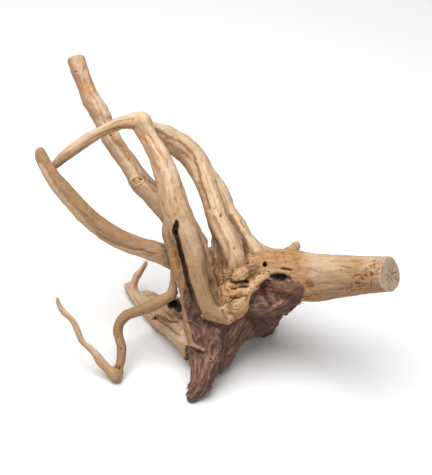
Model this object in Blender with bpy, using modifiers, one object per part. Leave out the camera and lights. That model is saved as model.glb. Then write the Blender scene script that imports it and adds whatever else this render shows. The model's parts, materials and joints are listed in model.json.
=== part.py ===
"""Aquarium driftwood: a sawn root stock whose branches arch up from a knotty crown.

The wood is drawn in millimetres on a plane that leans back through the foot's tip, as an eye in
front of it sees it: across to the right, up the plane, and toward the eye. Every branch is one or
more strands swept along a route. The strands are fused to one skin, hollows are cut into it, and
thin saw cuts at the main forks part it into its branches.
"""

import math

import bmesh
import bpy
from mathutils import Vector

MM = 0.001

# The drawing plane, the eye in front of it, and where the foot's tip stands in the room
LEAN = math.radians(38)
EYE_DISTANCE = 1300
EYE_ACROSS = 26
EYE_UP = 162
FOOT = Vector((-25.5, -112.7, 0))

# The skin: the shrinkage is what smoothing takes off a strand's radius
SAMPLE_STEP = 4
PROFILE_SIDES = 24
FLUTE_DEPTH = 0.05
VOXEL = 2.0
SMOOTH_PASSES = 5
SHRINKAGE = 0.6
LUMP_HEIGHT = 1.6
LUMP_SIZE = 17
TRIANGLES = 6800

# The cuts
KERF = 0.35
CRACK_WIDTH = 3.4
HOLLOW_SIDES = 10
SAW_DEPTH = 60
GROUND_SIZE = 900

TAN = (0.62, 0.42, 0.24, 1)
GREY_TAN = (0.55, 0.41, 0.27, 1)
GOLDEN = (0.58, 0.36, 0.17, 1)
DARK = (0.16, 0.09, 0.07, 1)

# Each strand's route: across, up, toward, radius
STRANDS = {
    "stock": [
        (62, 128, -22, 23), (95, 124.5, -2, 26), (122, 122.5, 15, 25), (155, 123.5, 36, 21.8),
        (182, 125, 54, 18.6), (214, 125.5, 75, 17),
    ],
    "stock_stub": [(96, 142, -8, 10), (103, 151, -14, 7), (106.5, 159, -20, 3)],
    "crown_heart": [(30, 110, -16, 17), (52, 122, -16, 25), (78, 130, -20, 24)],
    "crown_front": [(30, 90, 2, 13), (44, 98, 2, 16), (58, 114, -2, 16)],
    "crown_hollow": [(22, 141, -19, 6), (22, 130, -20, 11), (24, 112, -14, 13), (30, 98, -6, 13)],
    "crown_knob": [(45, 121, 10, 5), (51, 125, 13, 7), (57, 128, 11, 5)],
    "crown_back": [(58, 118, -34, 18), (68, 121, -54, 13), (75, 124, -68, 8), (78, 126, -74, 4)],
    "crown_rim": [
        (40, 90, 12, 6), (50, 95, 15, 7), (56, 106, 14, 6.5), (64, 115, 12, 6), (75, 121, 10, 5.5), (88, 119, 18, 5),
    ],
    "crown_fold": [(32, 104, 8, 6), (38, 112, 8, 6.5), (46, 108, 12, 6), (52, 112, 14, 5)],
    "front_arch": [
        (44, 80, 14, 3), (40, 80.5, 14, 5), (30, 84, 15, 8.5), (20, 89, 16, 9.5), (12.5, 104, 16, 10), (7, 124, 16, 10.3),
        (3.5, 146, 17, 11), (-4, 166, 18, 12.5), (-11, 183, 19, 14.4), (-16, 197, 19, 14.4), (-20.5, 216, 20, 12.7),
        (-29, 240.5, 20, 11), (-41, 260, 20, 10.5), (-48, 275, 20, 12), (-53.5, 282, 20, 11),
    ],
    "arch_knuckle": [(-46, 276, 18, 8), (-53.5, 283, 17, 6), (-54, 288, 17, 3)],
    "arch_rib": [(-14, 196, 14, 9), (-5, 180, 12, 9.5), (3, 166, 9, 8.5), (9, 154, 4, 8), (14, 140, -3, 9), (18, 122, -9, 11)],
    "crack_lip": [
        (-16, 190, 17, 9), (-21, 175, 14, 7), (-22, 163, 12, 5), (-19, 152, 11, 4.6), (-13.5, 134, 10, 4.8),
        (-8.2, 116, 9, 4.6), (-4, 100, 8, 4.8), (-1, 84, 6, 6), (4, 68, 4, 9), (9, 54, 2, 9),
    ],
    "lip_fin": [(-17, 180, 6, 9), (-16.5, 152, 2, 5.5), (-10, 130, 0, 5.5), (-2.5, 108, -2, 6.5), (1, 88, -2, 8), (6, 70, -2, 11)],
    "crack_back": [(-8, 172, 0, 9), (-4, 150, -6, 9), (2, 128, -9, 10), (8, 104, -8, 12), (14, 84, -6, 14)],
    "arch_tip": [
        (-52, 281, 20, 10.5), (-60, 278.5, 19, 8), (-70, 276.5, 18, 6.5), (-81, 272, 17, 5.4), (-92.5, 266, 15, 5.1),
        (-105, 258.5, 13, 5.6), (-118, 249.5, 11, 5.4), (-130, 239.5, 8, 4.5), (-140, 230, 5, 3),
    ],
    "left_branch": [
        (10, 132, -16, 11), (-16, 141.5, -12, 10.6), (-31.8, 147.4, -9, 10.2), (-50.5, 153.3, -5, 9.8),
        (-68.5, 160.2, -1, 9.7), (-82.4, 168, 3, 9.4), (-96.8, 179, 8, 9.2), (-106, 187.4, 11, 9.2), (-120.5, 203.4, 16, 8.5),
        (-133.4, 218.2, 20, 7.8), (-143, 232, 23, 6.9), (-149, 243.5, 25, 5.6), (-152, 252, 26, 3.8),
    ],
    "tall_branch": [
        (24, 126, -22, 13), (6, 154, -18, 13), (-8, 172, -14, 12), (-21, 187, -12, 11), (-35.5, 203.2, -12, 10.8),
        (-48.5, 217.5, -12, 10.8), (-57.2, 230.2, -13, 9.3), (-67.5, 245, -14, 8.8), (-77.5, 260, -15, 8.8), (-84, 273, -16, 8.6),
        (-88, 283, -17, 9), (-92, 291.5, -17, 10), (-98, 299.6, -18, 9.2), (-101.6, 309, -18, 8), (-108.2, 326.7, -19, 8.2),
        (-113.2, 342.8, -20, 8.9), (-117.5, 354, -20, 9),
    ],
    "tall_knob": [(-86, 284, -14, 8), (-81.5, 289, -12, 5.5)],
    "tall_nub": [(-99, 297, -17, 7), (-106.5, 300.5, -14, 3)],
    "tall_scar": [(-49, 222, -8, 7), (-53, 219.5, -5, 6.5), (-57, 216, -8, 7)],
    "back_arch": [
        (52, 118, -6, 13), (46, 138, -4, 11.5), (39, 158, -6, 11), (29, 178, -14, 10.5), (21.3, 204, -22, 10.5),
        (8.8, 233.3, -27, 11.8), (-1.5, 247, -27, 12), (-13.2, 256.5, -22, 11.8), (-24.2, 264.7, -12, 9.5), (-37, 274, 0, 5.5),
        (-47, 280, 12, 6),
    ],
    "back_rib": [
        (81, 136, -14, 15), (67, 146.6, -14, 10.5), (55.5, 159.7, -15, 9.2), (46.6, 176.2, -18, 8.6), (36.8, 190.5, -24, 8.3),
        (31, 206, -28, 8.2), (15.5, 228, -30, 8.6), (6, 240, -30, 8),
    ],
    "inner_rib": [(36, 124, -14, 9), (31, 146, -14, 8), (28.5, 166, -16, 7), (24.5, 184, -20, 7)],
    "foot": [
        (30, 96, -6, 18), (20, 76, -6, 18), (17, 56, -6, 17), (15.5, 38, -2, 14.5), (13.5, 24, 2, 13.3),
        (9, 13, 5, 11), (3, 4, 6, 8.5), (-3, -1, 7, 5),
    ],
    "dark_web": [(52, 98, -16, 20), (42, 78, -22, 19), (34, 60, -26, 17), (28, 45, -27, 14), (21, 31, -22, 10)],
    "dark_heel": [(66, 106, -22, 20), (64, 90, -42, 19), (68, 80, -64, 15.5), (74, 77, -84, 13)],
    "dark_fill": [(40, 72, -34, 16), (56, 77, -48, 15.5), (70, 81.5, -52, 15.5), (81, 88, -46, 14)],
    "dark_bulge": [(70, 98, -30, 17), (84, 91, -26, 14), (90, 88, -28, 10)],
    "dark_lobe": [(62, 102, -6, 18), (86, 101, -2, 17), (100, 104, 2, 12.5), (108, 107, 5, 8.5), (113, 108, 6, 4)],
    "low_root": [
        (12, 62, -12, 12), (-1, 57, -26, 13), (-10, 62, -38, 12), (-21, 72, -57, 10.8), (-33, 81, -77, 9),
        (-44, 90, -96, 7), (-52, 99, -111, 5.8), (-58.5, 108, -123, 5.2), (-63, 114, -130, 3.6),
    ],
    "low_fork": [(2, 66, -22, 11), (-8, 72, -38, 10), (-17, 82, -56, 8.5), (-27, 93, -76, 7.5), (-38, 101, -92, 6.5), (-47, 106, -104, 4)],
    "low_heel": [(-6, 56, -32, 9), (-3, 48, -30, 7.5), (-1, 43, -29, 5)],
    "low_ledge": [(-30, 82, -74, 8), (-36, 74.5, -74, 4.5), (-38, 71.5, -74, 2)],
    "low_twig": [(-55, 108, -117, 4.4), (-53.5, 118, -119, 4), (-49.3, 128, -119, 3.4), (-45.3, 136, -118, 2.8), (-42.8, 141.5, -117, 1.6)],
    "hooked_twig": [
        (3, 88, -14, 8), (-11, 97.5, -12, 5.4), (-18, 102.5, -12, 6), (-26, 102.8, -12, 6), (-37, 97, -14, 6), (-48, 91.5, -17, 5.5), (-57, 88, -20, 5.3),
        (-65, 85, -21, 5.2), (-70, 78, -22, 5), (-72, 70, -23, 4.8), (-71, 62, -22, 4.6), (-68.5, 53, -20, 4.5),
        (-69, 42, -19, 4.3), (-71, 31, -18, 4.3), (-73.5, 18.5, -16, 4.2),
    ],
    "twig_prong": [(-18, 104, -11, 5), (-17, 116, -8, 3.2), (-15.5, 128, -4, 3.2)],
    "twig_tip": [
        (-74, 20, -16, 4), (-80, 29, -18, 3.8), (-88, 37.5, -18, 3.8), (-97, 49, -18, 3.2), (-106.5, 57.5, -18, 3.1),
        (-112, 68, -17, 3), (-117, 79, -16, 2.8), (-126.5, 87.5, -15, 2.6), (-131, 95, -14, 2.2), (-132.5, 101, -13, 1.6),
    ],
}

# The forks where the branches part: a point, the direction across the cut, and the cut's radius
FORKS = {
    "trunk": ((132, 124, 20), (0.85, 0, 0.53), 38),
    "front_arch": ((-14, 190, 19), (-0.35, 0.94, 0.03), 18),
    "arch_tip": ((-66, 277.5, 18.5), (-0.98, -0.2, -0.08), 10),
    "back_arch": ((28, 194, -21), (-0.42, 0.88, -0.2), 21),
    "back_arch_end": ((-33, 271.5, -4), (-0.6, 0.42, 0.68), 10),
    "tall_branch": ((-22, 188, -12), (-0.65, 0.76, 0), 14),
    "left_branch": ((-32, 147.5, -9), (-0.93, 0.33, 0.17), 13.5),
    "low_root": ((-9, 67, -42), (-0.5, 0.38, -0.78), 24),
    "hooked_twig": ((-24, 102.5, -12), (-1, 0, 0), 9),
    "twig_tip": ((-82, 31.3, -18), (-0.68, 0.73, 0), 5.7),
}

# The edge of the dark wood: across, up, the drop to its far edge, and where that edge lies
DARK_EDGE = [
    (-32, 91, 0, -24), (-12, 92, 0, -26), (-3, 96, 0, -27), (13, 85, 0, -80), (41, 80, -8, -110), (55, 86, -8, -110),
    (59.5, 104, 6, -110), (68.6, 115.5, 16, -110), (81, 122, 22, -110), (108, 115, 16, -110), (115, 106, 12, -110),
    (117, 96, 8, -110), (117, 80, 4, -110),
]
DARK_EDGE_NEAR = 70
DARK_EDGE_FRONT = 10

# The long crack beside the lip: across, up, and how far in it reaches
CRACK = [
    (-13.5, 180, 30), (-15, 174, 20), (-15, 162, 10), (-13, 153, 5), (-10, 141, 3), (-5.5, 125, 2), (-2, 110, 2),
    (2.5, 96, 5), (6, 88, 9),
]
CRACK_NEAR = 50

# Hollows scooped out along a route: across, up, toward, radius
HOLLOWS = {
    "crack_mouth": [(-15, 172, 30, 1.5), (-16, 164, 25, 3.2), (-14.5, 154, 20, 3.2), (-11, 143, 16, 1.8)],
    "crown_slot": [(80, 124, 16, 1.6), (86, 124, 19, 3.2), (95, 123, 23, 3.2), (101, 122, 25, 1.4)],
    "crown_hole": [(75, 135, 12, 2.2), (75, 135, -6, 2.2)],
    "tall_scar_hole": [(-56.5, 217, 3, 1.6), (-53.5, 219, 4, 2.2), (-50, 221, 3, 1.6)],
    "low_pit": [(-35, 83, -58, 2), (-33.5, 82, -68, 2)],
    "dark_seam": [(30, 74, 14, 1.2), (52, 70, 4, 2.6), (62, 72, -8, 2.6), (72, 76, -22, 1.4)],
}

# The sawn ends: a point on the face and the direction out of it
SAWN_ENDS = {
    "stock_saw": ((200.2, 126, 66), (0.724, 0, 0.69)),
    "tall_saw": ((-114.8, 342.8, -20), (-0.2, 0.975, -0.1)),
}

# A place inside each branch, which says which solid is which
BRANCHES = {
    "trunk": ((165, 125, 43), GREY_TAN),
    "crown": ((52, 128, -10), GOLDEN),
    "dark_root": ((17, 50, -8), DARK),
    "front_arch": ((-29, 240, 20), TAN),
    "arch_tip": ((-92, 266, 15), TAN),
    "back_arch": ((9, 233, -27), TAN),
    "tall_branch": ((-57, 230, -13), TAN),
    "left_branch": ((-96, 179, 8), GREY_TAN),
    "low_root": ((-36, 84, -79), TAN),
    "hooked_twig": ((-57, 88, -20), TAN),
    "twig_tip": ((-107, 57, -18), TAN),
}


def at(across, up, toward):
    """The place, in metres, that an eye in front of the wood sees at this spot of the drawing."""
    nearness = 1 - toward / EYE_DISTANCE
    across = EYE_ACROSS + (across - EYE_ACROSS) * nearness
    up = EYE_UP + (up - EYE_UP) * nearness
    return (FOOT + turned(across, up, toward)) * MM


def turned(across, up, toward):
    """A direction of the drawing as a direction in the room."""
    right = Vector((1, 0, 0))
    rise = Vector((0, math.sin(LEAN), math.cos(LEAN)))
    nearer = Vector((0, -math.cos(LEAN), math.sin(LEAN)))
    return right * across + rise * up + nearer * toward


def between(a, b, c, d, share):
    """A smooth curve's value between b and c, where a and d are the values on either side."""
    return 0.5 * (
        2 * b + (c - a) * share + (2 * a - 5 * b + 4 * c - d) * share**2 + (3 * b - a - 3 * c + d) * share**3
    )


def sampled(route):
    """Points and radii, in metres, a few millimetres apart along a smooth curve through the route."""
    stops = [Vector((*at(*stop[:3]), (stop[3] + SHRINKAGE) * MM * (1 - stop[2] / EYE_DISTANCE))) for stop in route]
    stops = [stops[0] * 2 - stops[1], *stops, stops[-1] * 2 - stops[-2]]
    found = []
    for a, b, c, d in zip(stops, stops[1:], stops[2:], stops[3:]):
        steps = max(1, round((c - b).xyz.length / MM / SAMPLE_STEP))
        found += [between(a, b, c, d, step / steps) for step in range(steps)]
    return [*found, stops[-2]]


def collection(name):
    made = bpy.data.collections.new(name)
    bpy.context.scene.collection.children.link(made)
    return made


def placed(name, data, where):
    """An object in a collection."""
    made = bpy.data.objects.new(name, data)
    where.objects.link(made)
    return made


def finished(thing):
    """A plain mesh of what an object's curve or modifiers make. The object is removed."""
    bpy.context.view_layer.update()
    graph = bpy.context.evaluated_depsgraph_get()
    mesh = bpy.data.meshes.new_from_object(thing.evaluated_get(graph))
    bpy.data.objects.remove(thing)
    return mesh


def fluted_profile(flutes, depth, sides, helpers):
    """A closed outline of radius 1 mm with shallow flutes, which a strand is swept with."""
    outline = bpy.data.curves.new(f"profile_{flutes}", "CURVE")
    outline.dimensions = "2D"
    spline = outline.splines.new("POLY")
    spline.points.add(sides - 1)
    for side, point in enumerate(spline.points):
        turn = math.tau * side / sides
        radius = MM * (1 + depth * (math.cos(flutes * turn) + 0.5 * math.cos((flutes - 1) * turn + flutes)))
        point.co = (radius * math.cos(turn), radius * math.sin(turn), 0, 1)
    spline.use_cyclic_u = True
    return placed(outline.name, outline, helpers)


def strand(name, route, profile, helpers):
    """A mesh swept along a route with a fluted profile."""
    line = bpy.data.curves.new(name, "CURVE")
    line.dimensions = "3D"
    line.bevel_mode = "OBJECT"
    line.bevel_object = profile
    line.use_fill_caps = True
    spline = line.splines.new("POLY")
    samples = sampled(route)
    spline.points.add(len(samples) - 1)
    for point, sample in zip(spline.points, samples):
        point.co = (*sample.xyz, 1)
        point.radius = sample.w / MM
    return finished(placed(name, line, helpers))


def joined(name, meshes):
    """One mesh of several, with the caps of each welded on."""
    welded = bmesh.new()
    for mesh in meshes:
        welded.from_mesh(mesh)
        bpy.data.meshes.remove(mesh)
    bmesh.ops.remove_doubles(welded, verts=welded.verts, dist=0.00001)
    bmesh.ops.recalc_face_normals(welded, faces=welded.faces)
    mesh = bpy.data.meshes.new(name)
    welded.to_mesh(mesh)
    welded.free()
    return mesh


def fused_skin(profiles, helpers):
    """All strands fused to one lumpy skin of few triangles."""
    swept = [
        strand(name, route, profiles[number % len(profiles)], helpers)
        for number, (name, route) in enumerate(STRANDS.items())
    ]
    whole = placed("whole", joined("whole", swept), helpers)
    fuse = whole.modifiers.new("fuse", "REMESH")
    fuse.mode = "VOXEL"
    fuse.voxel_size = VOXEL * MM
    smooth = whole.modifiers.new("smooth", "SMOOTH")
    smooth.factor = 0.5
    smooth.iterations = SMOOTH_PASSES
    clouds = bpy.data.textures.new("lumps", "CLOUDS")
    clouds.noise_scale = LUMP_SIZE * MM
    lumps = whole.modifiers.new("lumps", "DISPLACE")
    lumps.texture = clouds
    lumps.strength = LUMP_HEIGHT * MM
    mesh = finished(whole)
    thinned = placed("thinned", mesh, helpers)
    thin = thinned.modifiers.new("thin", "DECIMATE")
    thin.ratio = TRIANGLES / (2 * len(mesh.polygons))
    return finished(thinned)


def solid(name, shape, where):
    """An object made of a finished bmesh."""
    mesh = bpy.data.meshes.new(name)
    shape.to_mesh(mesh)
    shape.free()
    return placed(name, mesh, where)


def disc(name, middle, direction, radius, thickness, cutters):
    """A flat round cutter across a direction, centred on a point."""
    shape = bmesh.new()
    bmesh.ops.create_cone(
        shape, cap_ends=True, segments=PROFILE_SIDES, radius1=radius * MM, radius2=radius * MM, depth=thickness * MM
    )
    made = solid(name, shape, cutters)
    made.location = middle
    made.rotation_mode = "QUATERNION"
    made.rotation_quaternion = direction.to_track_quat("Z", "Y")
    return made


def wall(name, rows, thickness, cutters):
    """A curved sheet through rows of points, of an even thickness."""
    shape = bmesh.new()
    grid = [[shape.verts.new(point) for point in row] for row in rows]
    for near, far in zip(grid, grid[1:]):
        for a, b, c, d in zip(near, near[1:], far[1:], far):
            shape.faces.new((a, b, c, d))
    bmesh.ops.triangulate(shape, faces=shape.faces)
    sheet = solid(name, shape, cutters)
    thicken = sheet.modifiers.new("thickness", "SOLIDIFY")
    thicken.thickness = thickness * MM
    thicken.offset = 0
    return sheet


def make_cutters(round_profile, helpers, cutters):
    """The forks' saw cuts, the sawn ends, the crack, the hollows and the ground."""
    for name, (middle, direction, radius) in FORKS.items():
        disc(f"{name}_fork", at(*middle), turned(*direction), radius, KERF, cutters)
    for name, (middle, direction) in SAWN_ENDS.items():
        outward = turned(*direction).normalized()
        disc(name, at(*middle) + outward * SAW_DEPTH / 2 * MM, outward, SAW_DEPTH / 2, SAW_DEPTH, cutters)
    wall("dark_edge", [
        [at(across, up, DARK_EDGE_NEAR) for across, up, drop, far in DARK_EDGE],
        [at(across, up, DARK_EDGE_FRONT) for across, up, drop, far in DARK_EDGE],
        [at(across, up - drop, far) for across, up, drop, far in DARK_EDGE],
    ], KERF, cutters)
    wall("crack", [
        [at(across, up, CRACK_NEAR) for across, up, depth in CRACK],
        [at(across, up, depth) for across, up, depth in CRACK],
    ], CRACK_WIDTH, cutters)
    for name, route in HOLLOWS.items():
        placed(name, joined(name, [strand(name, route, round_profile, helpers)]), cutters)
    ground = bmesh.new()
    bmesh.ops.create_cube(ground, size=GROUND_SIZE * MM)
    solid("ground", ground, cutters).location.z = -GROUND_SIZE / 2 * MM
    for cutter in cutters.objects:
        cutter.hide_render = True
        cutter.display_type = "WIRE"


def finish(name, colour):
    """Dry weathered wood of one colour."""
    made = bpy.data.materials.new(name)
    made.use_nodes = True
    shader = made.node_tree.nodes["Principled BSDF"]
    shader.inputs["Base Color"].default_value = colour
    shader.inputs["Roughness"].default_value = 0.75
    shader.inputs["Metallic"].default_value = 0
    return made


def part_into_branches(wood):
    """Each loose solid takes the name and the material of the branch whose place it surrounds."""
    bpy.context.view_layer.objects.active = wood
    wood.select_set(True)
    bpy.ops.mesh.separate(type="LOOSE")
    loose = list(bpy.context.selected_objects)
    for name, (place, colour) in BRANCHES.items():
        inside = at(*place)
        nearest = min(loose, key=lambda piece: (piece.closest_point_on_mesh(inside)[1] - inside).length)
        loose.remove(nearest)
        nearest.name = name
        nearest.data.name = name
        nearest.data.materials.clear()
        nearest.data.materials.append(finish(f"{name}_wood", colour))
        nearest.data.shade_smooth()
        nearest.data.set_sharp_from_angle(angle=math.radians(40))
    if loose:
        raise RuntimeError(f"{len(loose)} solids have no name")


def main():
    for old in list(bpy.data.objects):
        bpy.data.objects.remove(old)
    helpers = collection("helpers")
    cutters = collection("cutters")
    driftwood = collection("driftwood")
    profiles = [fluted_profile(flutes, FLUTE_DEPTH, PROFILE_SIDES, helpers) for flutes in (3, 4, 5)]
    round_profile = fluted_profile(0, 0, HOLLOW_SIDES, helpers)
    wood = placed("wood", fused_skin(profiles, helpers), driftwood)
    make_cutters(round_profile, helpers, cutters)
    cut = wood.modifiers.new("cuts", "BOOLEAN")
    cut.operation = "DIFFERENCE"
    cut.operand_type = "COLLECTION"
    cut.collection = cutters
    cut.solver = "EXACT"
    mesh = finished(wood)
    part_into_branches(placed("wood", mesh, driftwood))
    for helper in helpers.objects:
        helper.hide_render = True
        helper.display_type = "WIRE"


if __name__ == "__main__":
    main()
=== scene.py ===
"""Aquarium driftwood: a sawn root stock whose branches arch up from a knotty crown.

The wood is grown once, as a single skin around strands that follow its solids. They are drawn in
millimetres on a plane that leans back through the foot's tip: across to the right, up the plane,
and toward the eye. Weather then wears grain, grooves, folds and pits into the skin, and the skin is
shared out among the branches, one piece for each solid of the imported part.
"""

import json
import math
from itertools import cycle

import bmesh
import bpy
import numpy as np
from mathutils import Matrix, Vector
from mathutils.bvhtree import BVHTree

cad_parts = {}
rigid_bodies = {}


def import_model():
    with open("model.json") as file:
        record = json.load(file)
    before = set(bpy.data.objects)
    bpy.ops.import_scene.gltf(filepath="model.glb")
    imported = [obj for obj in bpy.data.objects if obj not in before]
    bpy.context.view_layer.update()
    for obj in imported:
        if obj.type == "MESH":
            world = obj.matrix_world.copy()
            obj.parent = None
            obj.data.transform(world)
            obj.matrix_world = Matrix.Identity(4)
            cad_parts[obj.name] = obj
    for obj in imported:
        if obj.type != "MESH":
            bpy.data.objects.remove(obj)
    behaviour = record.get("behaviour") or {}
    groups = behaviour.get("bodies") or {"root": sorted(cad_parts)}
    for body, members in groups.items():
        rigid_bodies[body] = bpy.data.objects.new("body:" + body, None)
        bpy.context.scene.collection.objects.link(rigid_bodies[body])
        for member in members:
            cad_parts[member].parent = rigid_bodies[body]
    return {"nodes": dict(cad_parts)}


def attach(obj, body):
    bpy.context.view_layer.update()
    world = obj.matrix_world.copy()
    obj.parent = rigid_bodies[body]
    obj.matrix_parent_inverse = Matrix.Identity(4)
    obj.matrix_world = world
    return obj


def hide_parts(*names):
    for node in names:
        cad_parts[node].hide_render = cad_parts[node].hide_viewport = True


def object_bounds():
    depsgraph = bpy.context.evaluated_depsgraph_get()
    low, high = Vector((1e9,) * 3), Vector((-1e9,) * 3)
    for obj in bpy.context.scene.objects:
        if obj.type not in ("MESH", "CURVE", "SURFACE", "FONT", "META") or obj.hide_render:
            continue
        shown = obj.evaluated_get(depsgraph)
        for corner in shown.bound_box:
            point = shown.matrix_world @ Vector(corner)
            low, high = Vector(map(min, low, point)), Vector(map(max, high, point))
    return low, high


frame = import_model()
CAD_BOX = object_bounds()

bl_info = {
    "name": "Aquarium Driftwood",
    "version": (1, 0, 0),
    "blender": (4, 5, 0),
    "location": "View3D > Sidebar > Driftwood",
    "description": "Grows a weathered piece of aquarium driftwood around its packed solids",
    "category": "Object",
}

MM = 0.001

# The photograph's frame, and the drawing plane with the eye in front of it
PHOTO_WIDTH = 432
PHOTO_HEIGHT = 475
LEAN = math.radians(38)
EYE_DISTANCE = 1300
EYE_ACROSS = 26
EYE_UP = 162
PHOTO_MIDDLE = (26, 162.5)
FOOT = Vector((-25.5, -112.7, 0))
SENSOR = 36

# The skin, in millimetres: how strands are swept, fused, smoothed and roughened, and what is cut out.
# The walls that open the crack and the gap start this far toward the eye.
SAMPLE_STEP = 4
PROFILE_SIDES = 24
FLUTE_DEPTH = 0.05
ROUGH_SMOOTHING = 5
FINE_SMOOTHING = 2
SHRINKAGE = 0.6
LUMP_HEIGHT = 1.6
LUMP_SIZE = 17
CRACK_WIDTH = 4.4
GAP_WIDTH = 4.2
WALL_NEAR = 50
HOLLOW_SIDES = 16
SAW_DEPTH = 60
GROUND_SIZE = 900

# How far a strand's own grain reaches into the next strand's, and how many strands share a spot.
# Each strand's grain lies in noise of its own, a shift away from the last one's, and wanders in it.
GRAIN_BLEND = 1.2
SHARED_STRANDS = 3
STRAND_SHIFT = (31.7, 17.9, 53.3)
WANDER_SIZE = 15
ROWS_AT_ONCE = 5000
NOISE_CELLS = 64

# Noise that follows the grain: what the seed grows by, sizes across and along the grain in
# millimetres, and octaves
GRAIN_NOISES = {
    "flutes": (4, 7, 60, 2), "grooves": (5, 4.6, 48, 1), "fine_grain": (6, 1.9, 26, 2),
    "broad_streaks": (8, 5.5, 70, 2), "thin_streaks": (9, 1.7, 34, 2), "flecks": (10, 1.3, 9, 1),
    "folds": (14, 3.4, 22, 2), "fibres": (17, 5.5, 42, 2), "thin_fibres": (18, 2.1, 30, 2),
}

# Noise that doesn't: what the seed grows by, size in millimetres, and octaves
CLOUD_NOISES = {
    "groove_patches": (3, 22, 1), "dents": (7, 6, 2), "rough_burl": (15, 17, 1),
    "root_hollows": (19, 13, 2), "curl": (20, 9, 1), "saw_marks": (27, 1.6, 2),
    "rags_across": (40, 4.5, 2), "rags_up": (41, 4.5, 2), "drift": (50, 12, 2),
}

# Scattered middles: what the seed grows by, size in millimetres, and how far the grain pushes them
KNOT_NOISES = {
    "knots": (12, 6.2, 1.4), "pits": (13, 2.6, 1.4), "pebbles": (16, 2.7, 1.4), "flakes": (23, 3.4, 1),
}

# How far the ragged edges of drawn marks stray, how far greying spreads, and how far around a spot
# its surroundings are taken to lie
RAGGED_REACH = 0.9
AGE_REACH = 14
HOLLOW_REACH = 7

# How deep and how far from the pith a sawn face's marks reach, and the middle of the dark lobe's curl
END_DEPTH = 2.4
END_RADIUS = 24
LOBE_EYE = (94, 103)

# Where branches part: rounds of evening out the border, and the lid that closes each piece
EVENING_ROUNDS = 4
LID_DEPTH = 4
LID_SHARE = 0.35

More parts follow.
